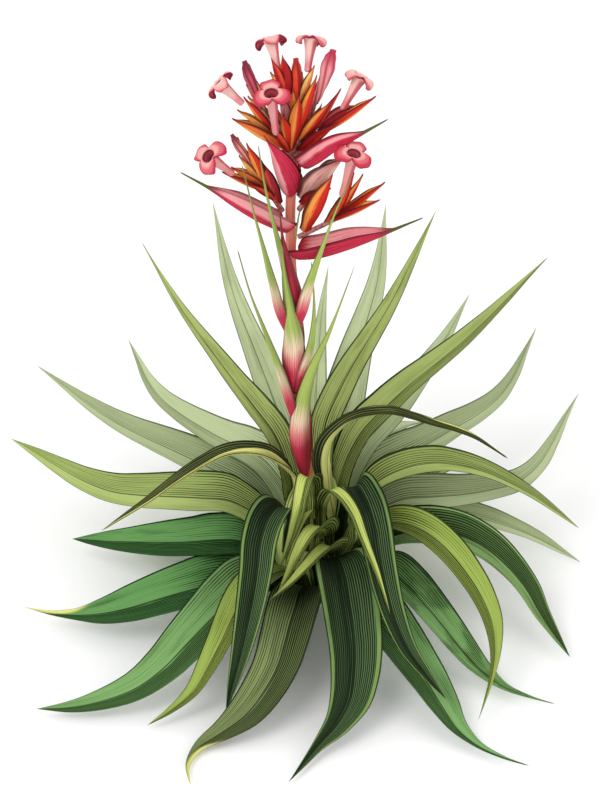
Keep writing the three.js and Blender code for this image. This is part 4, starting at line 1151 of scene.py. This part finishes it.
# %% Spikes: axes; bracts as root, tip, width, tone and bright half; buds as root, tip, radius and look
SPIKES = {
    "spikes_upper": {
        "axes": [
            [(-9, 0, 206), (-8, -2, 224), (-7, 0, 235)],
            [(-9.5, -0.5, 206), (-12.5, -2, 225), (-13.5, -1, 238)],
            [(-10, -0.6, 206), (-17, -4, 221), (-23, -4, 231)],
            [(-8.6, 0.4, 206), (-4, 0, 221), (1, -1, 235)],
            [(-8.4, -0.4, 206), (-1, -4, 217), (6.5, -5, 223.5)],
        ],
        "bracts": [
            ((-9.6, -1.4, 210), (-6.5, -9, 239), 4.3, "ember", -1),
            ((-8, -1.9, 215), (0, -6, 245.5), 4.2, "ember", -1),
            ((-7, -1, 230), (-8, -2, 249.5), 3.8, "scarlet", -1),
            ((-8.5, -2, 222.5), (-9.5, 1, 242.5), 3.2, "amber", 1),
            ((-7, 0, 231), (-5.5, 1, 242.5), 3, "gold", 1),
            ((-6.5, -1, 230), (-1, -1, 246.5), 3.2, "gold", -1),
            ((-8, -1.4, 224), (-7, 7, 242.5), 4.2, "amber", 1),
            ((-11, -2, 233.5), (-13, -3, 252), 3.8, "scarlet", -1),
            ((-12, -2, 234.5), (-17, -5, 251.5), 3.2, "scarlet", 1),
            ((-12, -1.4, 232.5), (-17.5, -2.5, 244.5), 3.2, "gold", 1),
            ((-12.6, -1.3, 228), (-16.5, 4, 239.5), 3.8, "amber", 1),
            ((-10.4, -1.4, 211), (-13, -9, 230), 3.6, "ember", -1),
            ((-10.8, -1.4, 209), (-18, -8, 225), 3.6, "scarlet", 1),
            ((-12.2, -2, 211), (-32, -9, 228.5), 6.4, "amber", -1),
            ((-17, -4, 219), (-30, -7, 231), 3.6, "gold", -1),
            ((-16.5, -4, 219), (-27.5, -6, 236), 3.8, "ember", -1),
            ((-17.5, -3, 223), (-26, -2, 234), 3.4, "gold", 1),
            ((-19, -3, 226.5), (-26.5, -2, 239), 3.4, "amber", 1),
            ((-20.5, -3.4, 228), (-23.5, -1, 242.5), 3.2, "gold", 1),
            ((-6.2, -0.8, 213.5), (5, -7, 234.5), 4.8, "ember", -1),
            ((-3, 0, 224), (2.5, 5, 241), 3.8, "amber", 1),
            ((-5.4, -1.4, 213), (9, -5, 239), 3.4, "wine", 1),
            ((2, -5, 219.5), (22, -10, 238.5), 4.4, "ember", 1),
            ((-6.4, -1.6, 209.5), (7.5, -9, 226.5), 5.2, "scarlet", 1),
            ((1, -3.8, 218.6), (15.5, -2, 230.5), 7, "crimson", 1),
            ((-8, 0.6, 208.5), (1.5, 1, 240), 5, "mauve", -1),
            ((-9.6, -0.4, 209), (-12.4, -2, 234.5), 4, "rose", 1),
            ((-11, -0.6, 210), (-20.5, -3.4, 232), 4.4, "rose", 1),
        ],
        "buds": [
            ((-21, -3.8, 229), (-27, -3, 249), 2.1, "wine"),
            ((-0.5, -1, 230), (6, -1, 252.5), 2.7, "pink"),
        ],
    },
    "spike_lower_left": {
        "axes": [[(-13.2, -1.5, 183.5), (-18.5, -4, 194), (-24.5, -6, 204)]],
        "bracts": [
            ((-14.5, -2.5, 187), (-21, -8, 210), 4.2, "wine", -1),
            ((-19, -4.5, 194.5), (-26.5, -8, 217.5), 4.8, "ember", -1),
            ((-21, -4.6, 198), (-30, -3, 217), 3, "mauve", 1),
            ((-20, -4.6, 196), (-29.5, -8, 212), 3.2, "gold", -1),
            ((-20, -4.8, 196), (-32.5, -9, 207.5), 4.2, "amber", -1),
            ((-18.5, -4.5, 193.5), (-36, -11, 206.5), 4, "honey", -1),
            ((-16.5, -3.2, 189.5), (-25, -11, 201), 4.2, "scarlet", 1),
            ((-18, -3.4, 192.5), (-24.5, 2, 204.5), 4.2, "ember", 1),
        ],
        "buds": [((-23, -5.4, 202), (-32, -6, 219.5), 1.6, "crimson")],
    },
    "spike_middle_right": {
        "axes": [[(-6.8, -2.4, 184.5), (-3, -3.5, 191), (1.5, -5, 199)]],
        "bracts": [
            ((-5.6, -3, 187), (5.5, -7, 197), 5.8, "scarlet", 1),
            ((-4.4, -3.2, 189), (10, -5, 209.5), 11, "mauve", 1),
        ],
        "buds": [],
    },
    "spike_lower_right": {
        "axes": [[(-6.8, -2.6, 172.5), (-1, -4.6, 177), (8, -6, 183)]],
        "bracts": [
            ((-4, -3.6, 175), (6, -13, 207), 6.8, "ember", -1),
            ((6.5, -5.6, 182), (17.5, -8, 204), 3.6, "ember", -1),
            ((7, -6, 182.6), (14, -10, 206), 3, "scarlet", -1),
            ((7, -6, 182.4), (26, -9, 201), 4.2, "ember", 1),
            ((6, -5.8, 181.5), (24, -13, 195.5), 4.2, "honey", 1),
            ((3.5, -5.4, 180), (13.5, -3, 197), 3.6, "amber", 1),
        ],
        "buds": [],
    },
    "spike_back": {
        "axes": [[(-9.2, 2.6, 190), (-6, 9, 204), (-4, 14, 216)]],
        "bracts": [
            ((-8.5, 4.4, 193.5), (-10.4, 15, 228), 6, "ember", 1),
            ((-7.5, 6, 197), (2, 14, 222), 6, "honey", -1),
            ((-6, 9, 204), (-4.5, 13, 232), 5.5, "scarlet", 1),
            ((-5.3, 11, 208.5), (-2, 21, 226), 5.5, "ember", -1),
            ((-8, 5, 195), (-15, 14, 220), 5.5, "amber", 1),
            ((-6.5, 8, 202), (-9, 21, 228), 5, "scarlet", -1),
        ],
        "buds": [((-5, 12, 211), (-8, 18, 239), 2.3, "scarlet")],
    },
}
FLORAL_FORM = (0.55, 0.4, 1.0, 1.6, 0.5)
FLORAL_BODY = {"rise": 0.45, "thick": 1.3, "count": 26, "panels": 14, "rib_depth": 0.05 * MM}
FLORAL_BREADTH = 1.32
HEAD_CORE = Vector((-9, 4, 0))
BOW_PLACE = 0.45
BOW_SHARE = 0.05
AXIS_GIRTH = (1.1, 0.9)
print("spikes:", ", ".join(SPIKES))


# %% Finish of the closed buds
def bud_finish(look, light, deep, end):
    finish, web, across, _, along, wash = charted_finish("bud_" + look, (2.0, 3.0, 2.0, 4.1))
    twist = wave_lines(web, across * 3.0 + along * 1.2, 2.0)
    colour = web.mix(wash * 0.3, web.mix(twist, light, deep), deep)
    colour = fade(web, along, colour, [(0.6, 0.95, end)])
    shader_out(web, colour, 0.5 + wash * 0.1, twist * -1.0, Specular_IOR_Level=0.35)
    return finish


BUD_LOOKS = {
    # name: light and deep half of a furrow, and the end
    "pink": ((240, 160, 160), (176, 60, 84), (176, 34, 66)),
    "crimson": ((236, 168, 150), (150, 30, 56), (132, 24, 46)),
    "wine": ((204, 84, 104), (118, 16, 42), (116, 18, 42)),
    "scarlet": ((240, 140, 80), (206, 60, 36), (196, 40, 34)),
}
BUD_FINISHES = {look: bud_finish(look, *tints(notes)) for look, notes in BUD_LOOKS.items()}
print("bud looks:", ", ".join(BUD_FINISHES))

# %% Closed buds
BUD_OUTLINE = [  # share of the length, share of the radius
    (0.0, 0.35), (0.2, 0.6), (0.45, 0.78), (0.7, 1.0), (0.86, 0.82), (0.96, 0.45),
]
BUD_ROWS = 26
BUD_SECTORS = 30
BUD_PETALS = 3
BUD_TWIST = 7.5
FURROW = 0.1
FURROW_ZONE = (0.1, 0.5)
POLE_GAP = 0.01


def bud_girth(share):
    """Share of a bud's radius at a share of its length."""
    k = max(i for i, (start, _) in enumerate(BUD_OUTLINE[:-1]) if start <= share)
    (start, low), (end, high) = BUD_OUTLINE[k:k + 2]
    return low + (high - low) * smooth_share(share, start, end)


def bud_mesh(foot, tip, radius, look):
    """Bud of three petals wound round each other: a turned form with furrows that twist as they rise."""
    axis = tip - foot
    turn = UP.rotation_difference(axis)
    rings = []
    for i in range(BUD_ROWS):
        share = POLE_GAP + (1 - 2 * POLE_GAP) * i / (BUD_ROWS - 1)
        girth = bud_girth(share)
        depth = FURROW * smooth_share(share, *FURROW_ZONE)
        ring = []
        for j in range(BUD_SECTORS):
            angle = 2 * math.pi * j / BUD_SECTORS
            furrow = 1 - depth * math.cos(BUD_PETALS * angle + share * BUD_TWIST)
            ring.append(foot + turn @ (around(angle, radius) * girth * furrow + UP * (share * axis.length)))
        rings.append(ring)
    return shell(rings, (foot, tip), BUD_FINISHES[look])


print("a bud has", BUD_ROWS * BUD_SECTORS, "points")


# %% Grow the spikes
def floral_mesh(root, tip, width, tone, bright):
    """Floral bract that bows outwards a little and turns its keel away from the head's core."""
    start, end = Vector(root), Vector(tip)
    reach = end - start
    out = (start + end) / 2 - HEAD_CORE
    out = Vector((out.x, out.y, 0)).normalized()
    bow = start + reach * BOW_PLACE + out * (BOW_SHARE * reach.length)
    law = bract_width(width * FLORAL_BREADTH, *FLORAL_FORM)
    finish = floral_bract_finish(tone, bright, round(out.x))
    return bract_mesh([start, bow, end], out, law, finish, **FLORAL_BODY)


def spike_meshes(plan):
    parts = [rod_mesh(axis, *AXIS_GIRTH, axis_finish, count=16, sectors=12) for axis in plan["axes"]]
    parts += [floral_mesh(*row) for row in plan["bracts"]]
    for foot, tip, radius, look in plan["buds"]:
        parts.append(bud_mesh(Vector(foot) * MM, Vector(tip) * MM, radius * MM, look))
    return parts


for name, plan in SPIKES.items():
    piece(name + "_bracts", spike_meshes(plan), "floral_bract", name)
print("floral bracts:", sum(len(plan["bracts"]) for plan in SPIKES.values()))

# %% [markdown]
# ## The blooms
# A bloom is a narrow tube of three petals whose free ends spread and roll back. Inside the ring of pale
# petals the throat is dark maroon, and the backs of the petals are crimson. The petals could be three
# separate strips, but they are joined in the tube, so one turned form with three deep lobes fits better.


# %% Bloom finish
def bloom_finish(name, tube, rim, face, ring):
    """Along the chart: 0 to 0.33 the tube, to 0.52 the back of a lobe, to 0.81 its face, then the throat."""
    finish, web, across, _, along, wash = charted_finish("petals_" + name, (3.0, 5.0, 3.0, 2.2))
    veins = wave_lines(web, across * 21.0 + wash, 3.0)
    colour = fade(web, along, web.mix(wash, tube, tint(236, 156, 156)), [
        (0.0, 0.08, tint(236, 150, 150)),
        (0.08, 0.2, tube),
        (0.33, 0.38, tint(206, 60, 88)),
        (0.46, 0.51, tint(126, 18, 42)),
        (0.535, 0.56, rim),
        (0.58, 0.625, face),
        (0.635, 0.69, ring),
        (0.735, 0.75, tint(120, 22, 44)),
        (0.765, 0.79, tint(172, 74, 82)),
        (0.84, 0.95, tint(96, 24, 38)),
    ])
    edge = web.ease(across, -0.95, -0.8) * (1 - web.ease(across, -0.2, 0.1))
    edge = edge * (1 - web.ease(along, 0.3, 0.36))
    colour = web.coats(colour, (edge * 0.8, tint(200, 52, 80)), (veins * 0.4, tint(160, 30, 60)))
    shader_out(web, colour, 0.5 + wash * 0.1, veins * -0.5 + wash * 0.4, Specular_IOR_Level=0.3)
    return finish


PETAL_LOOKS = {
    # name: tube, rim and face of a lobe, and the ring round the throat
    "open": ((240, 168, 166), (196, 40, 66), (220, 100, 112), (246, 178, 170)),
    "rolled": ((250, 206, 196), (222, 98, 112), (246, 182, 174), (252, 208, 198)),
}
PETALS = {name: bloom_finish(name, *tints(notes)) for name, notes in PETAL_LOOKS.items()}
print("bloom finishes:", len(PETALS))

# %% Blooms: foot, aim, length, turn of the lobes, how far they roll up, and how wide they spread
BLOOMS = {
    "bloom_left": ((-31.6, -10.8, 205.4), (-41, -18.5, 218), 16.8, 0.0, 2.7, 1.6),
    "bloom_upper_left": ((-27.6, -6.7, 233), (-34.4, -5.2, 239), 12.3, 0.6, 4.0, 1.5),
    "bloom_face_left": ((-15.4, -8.7, 221.4), (-17, -15, 242), 22, 0.0, 0.9, 1.25),
    "bloom_top_left": ((-14.3, -0.4, 242.3), (-16.8, 5.8, 251.2), 13.5, 1.0, 4.2, 1.5),
    "bloom_top_right": ((-3.6, -0.4, 243), (-2.3, 6.2, 252.4), 12.8, 0.0, 4.2, 1.5),
    "bloom_right": ((9.4, -4, 229), (16, 0, 240.7), 14.4, 0.4, 4.2, 1.5),
    "bloom_face_right": ((9.4, -10.7, 195.4), (13.7, -15.5, 217), 22.6, 0.0, 0.9, 1.3),
}
TUBE_OUTLINE = [(0.9, 0.0), (1.2, 0.02), (1.4, 0.3), (1.8, 0.6), (2.3, 0.85), (2.75, 1.0)]
MOUTH_DROP = 1.1
LOBE_OUTLINE = [
    # radius, height over the mouth: out along the back of a lobe, home along its face, down the throat
    (2.7, -1.0), (3.3, -0.5), (4.3, -0.4), (5.5, -0.4), (6.5, -0.32), (6.85, 0.0), (6.5, 0.32), (5.6, 0.42),
    (4.6, 0.5), (3.7, 0.55), (3.1, 0.3), (2.6, -0.3), (2.2, -1.2), (1.7, -2.4), (1.1, -4.2), (0.5, -5.0),
]
TUBE_ROWS = 18
LOBE_ROWS = 36
BLOOM_SECTORS = 90
LOBES = 3
# The lobes start at the radius of the neck and reach a little over 4 mm past it. Between two lobes only the
# notch's share of a lobe is left. A lobe that rolls up more is narrower, and each has a curl of its own.
NECK = 2.6
NOTCH = 0.12
LOBE_ROUND = 0.35
LOBE_NARROWING = 0.4
LOBE_CURLS = (1.0, 0.8, 1.15)
LOBE_REACH = 4.25
SCROLL_STEPS = 40
ROLLED = 3.0
FRILL = 0.055
FRILLS = 9
print("blooms:", len(BLOOMS))


# %% Grow the blooms
def scroll_at(share, total):
    """How far out and down a strip of length 1 is, and its slope, as it leaves flat and rolls up tighter."""
    out = down = 0.0
    for k in range(SCROLL_STEPS):
        slope = total * (share * (k + 0.5) / SCROLL_STEPS) ** 2
        out += math.cos(slope) * share / SCROLL_STEPS
        down += math.sin(slope) * share / SCROLL_STEPS
    return out, down, total * share ** 2


def bloom_mesh(foot, aim, length, spin, roll, spread):
    """Turned form of a tube and three lobes. spin turns the lobes, roll is how far each rolls up in all."""
    foot, aim = Vector(foot), Vector(aim)
    turn = Vector((0, 1, 0)).rotation_difference((aim - foot).normalized())
    tube = [Vector((r, share * (length - MOUTH_DROP), 0)) for r, share in TUBE_OUTLINE]
    lobe = [Vector((r, length + h, 0)) for r, h in LOBE_OUTLINE]
    rows = evenly(tube, TUBE_ROWS)[0] + evenly(lobe, LOBE_ROWS + 1)[0][1:]
    narrow = LOBE_ROUND + LOBE_NARROWING * roll
    whole = LOBE_REACH * spread
    rings = []
    for row in rows:
        past = max(row.x - NECK, 0) * spread
        lift = row.y - length if past > 0 else 0
        ring = []
        for j in range(BLOOM_SECTORS):
            angle = 2 * math.pi * j / BLOOM_SECTORS
            full = abs(math.sin(LOBES / 2 * (angle - spin))) ** narrow
            kept = past * (NOTCH + (1 - NOTCH) * full)
            lobe_number = int((angle - spin) % (2 * math.pi) / (2 * math.pi / LOBES)) % LOBES
            out, down, slope = scroll_at(kept / whole, roll * LOBE_CURLS[lobe_number])
            frill = FRILL * past * math.sin(FRILLS * (angle - spin))
            reach = min(row.x, NECK) + whole * out + lift * math.sin(slope)
            height = row.y - lift - whole * down + lift * math.cos(slope) + frill
            spot = Vector((reach * math.sin(angle), height, reach * math.cos(angle)))
            ring.append((foot + turn @ spot) * MM)
        rings.append(ring)
    ends = [(foot + turn @ Vector((0, row.y, 0))) * MM for row in (rows[0], rows[-1])]
    return shell(rings, ends, PETALS["rolled" if roll > ROLLED else "open"])


for name, plan in BLOOMS.items():
    piece(name + "_petals", [bloom_mesh(*plan)], "petal", name)
print("points of a bloom:", BLOOM_SECTORS * (TUBE_ROWS + LOBE_ROWS))

# %% [markdown]
# ## Stage
# A plain pale floor, soft light from all round, and a camera at the picture's viewing angle. The floor is
# a plain sheet, because it is only there to catch the plant's shadow.

# %% Floor
FLOOR_REACH = 3.0
FLOOR_DROP = 0.5 * MM
floor_finish, web = fresh_finish("floor_paper")
grain = web.noise(web.node("ShaderNodeTexCoord").output("Object"), 30.0)
paper = web.mix(grain * 0.03, tint(252, 252, 252), tint(240, 240, 240))
shader = web.node("ShaderNodeBsdfPrincipled", sockets={"Base Color": paper, "Roughness": 0.9})
web.node("ShaderNodeOutputMaterial", sockets={"Surface": shader})

floor_mesh = bpy.data.meshes.new("floor")
corners = [(x * FLOOR_REACH, y * FLOOR_REACH, 0) for x, y in ((-1, -1), (1, -1), (1, 1), (-1, 1))]
floor_mesh.from_pydata(corners, [], [(0, 1, 2, 3)])
floor_mesh.materials.append(floor_finish)
floor = bpy.data.objects.new("floor", floor_mesh)
floor.location.z = -FLOOR_DROP
bpy.context.scene.collection.objects.link(floor)
print("floor:", 2 * FLOOR_REACH, "m wide")

# %% Light
TARGET = Vector((-6.4, 0, 94)) * MM
SKY = 0.93
LAMPS = {
    # name: place in metres, size in metres, power in watts
    "key": ((-0.8, -0.9, 1.5), 0.9, 10),
    "fill": ((1.1, -0.5, 0.9), 1.0, 3),
}
world = bpy.data.worlds.new("studio")
bpy.context.scene.world = world
world.use_nodes = True
world.node_tree.nodes["Background"].inputs["Color"].default_value = (1, 1, 1, 1)
world.node_tree.nodes["Background"].inputs["Strength"].default_value = SKY


def placed(name, data, place, facing):
    """Object at a place, whose -Z axis points along facing, as a camera and a lamp look."""
    made = bpy.data.objects.new(name, data)
    made.location = place
    made.rotation_mode = "QUATERNION"
    made.rotation_quaternion = facing.to_track_quat("-Z", "Y")
    bpy.context.scene.collection.objects.link(made)
    return made


for name, (place, size, power) in LAMPS.items():
    light = bpy.data.lights.new(name, "AREA")
    light.size = size
    light.energy = power
    placed(name, light, place, TARGET - Vector(place))
print("lamps:", ", ".join(LAMPS))

# %% Camera
ELEVATION = math.radians(35)
DISTANCE = 1.2
LENS = 135
back = Vector((0, -math.cos(ELEVATION), math.sin(ELEVATION)))
camera = placed("camera", bpy.data.cameras.new("camera"), TARGET + back * DISTANCE, -back)
camera.data.lens = LENS
bpy.context.scene.camera = camera
bpy.context.scene.view_settings.view_transform = "Standard"
print("camera at", [round(v, 3) for v in camera.location])
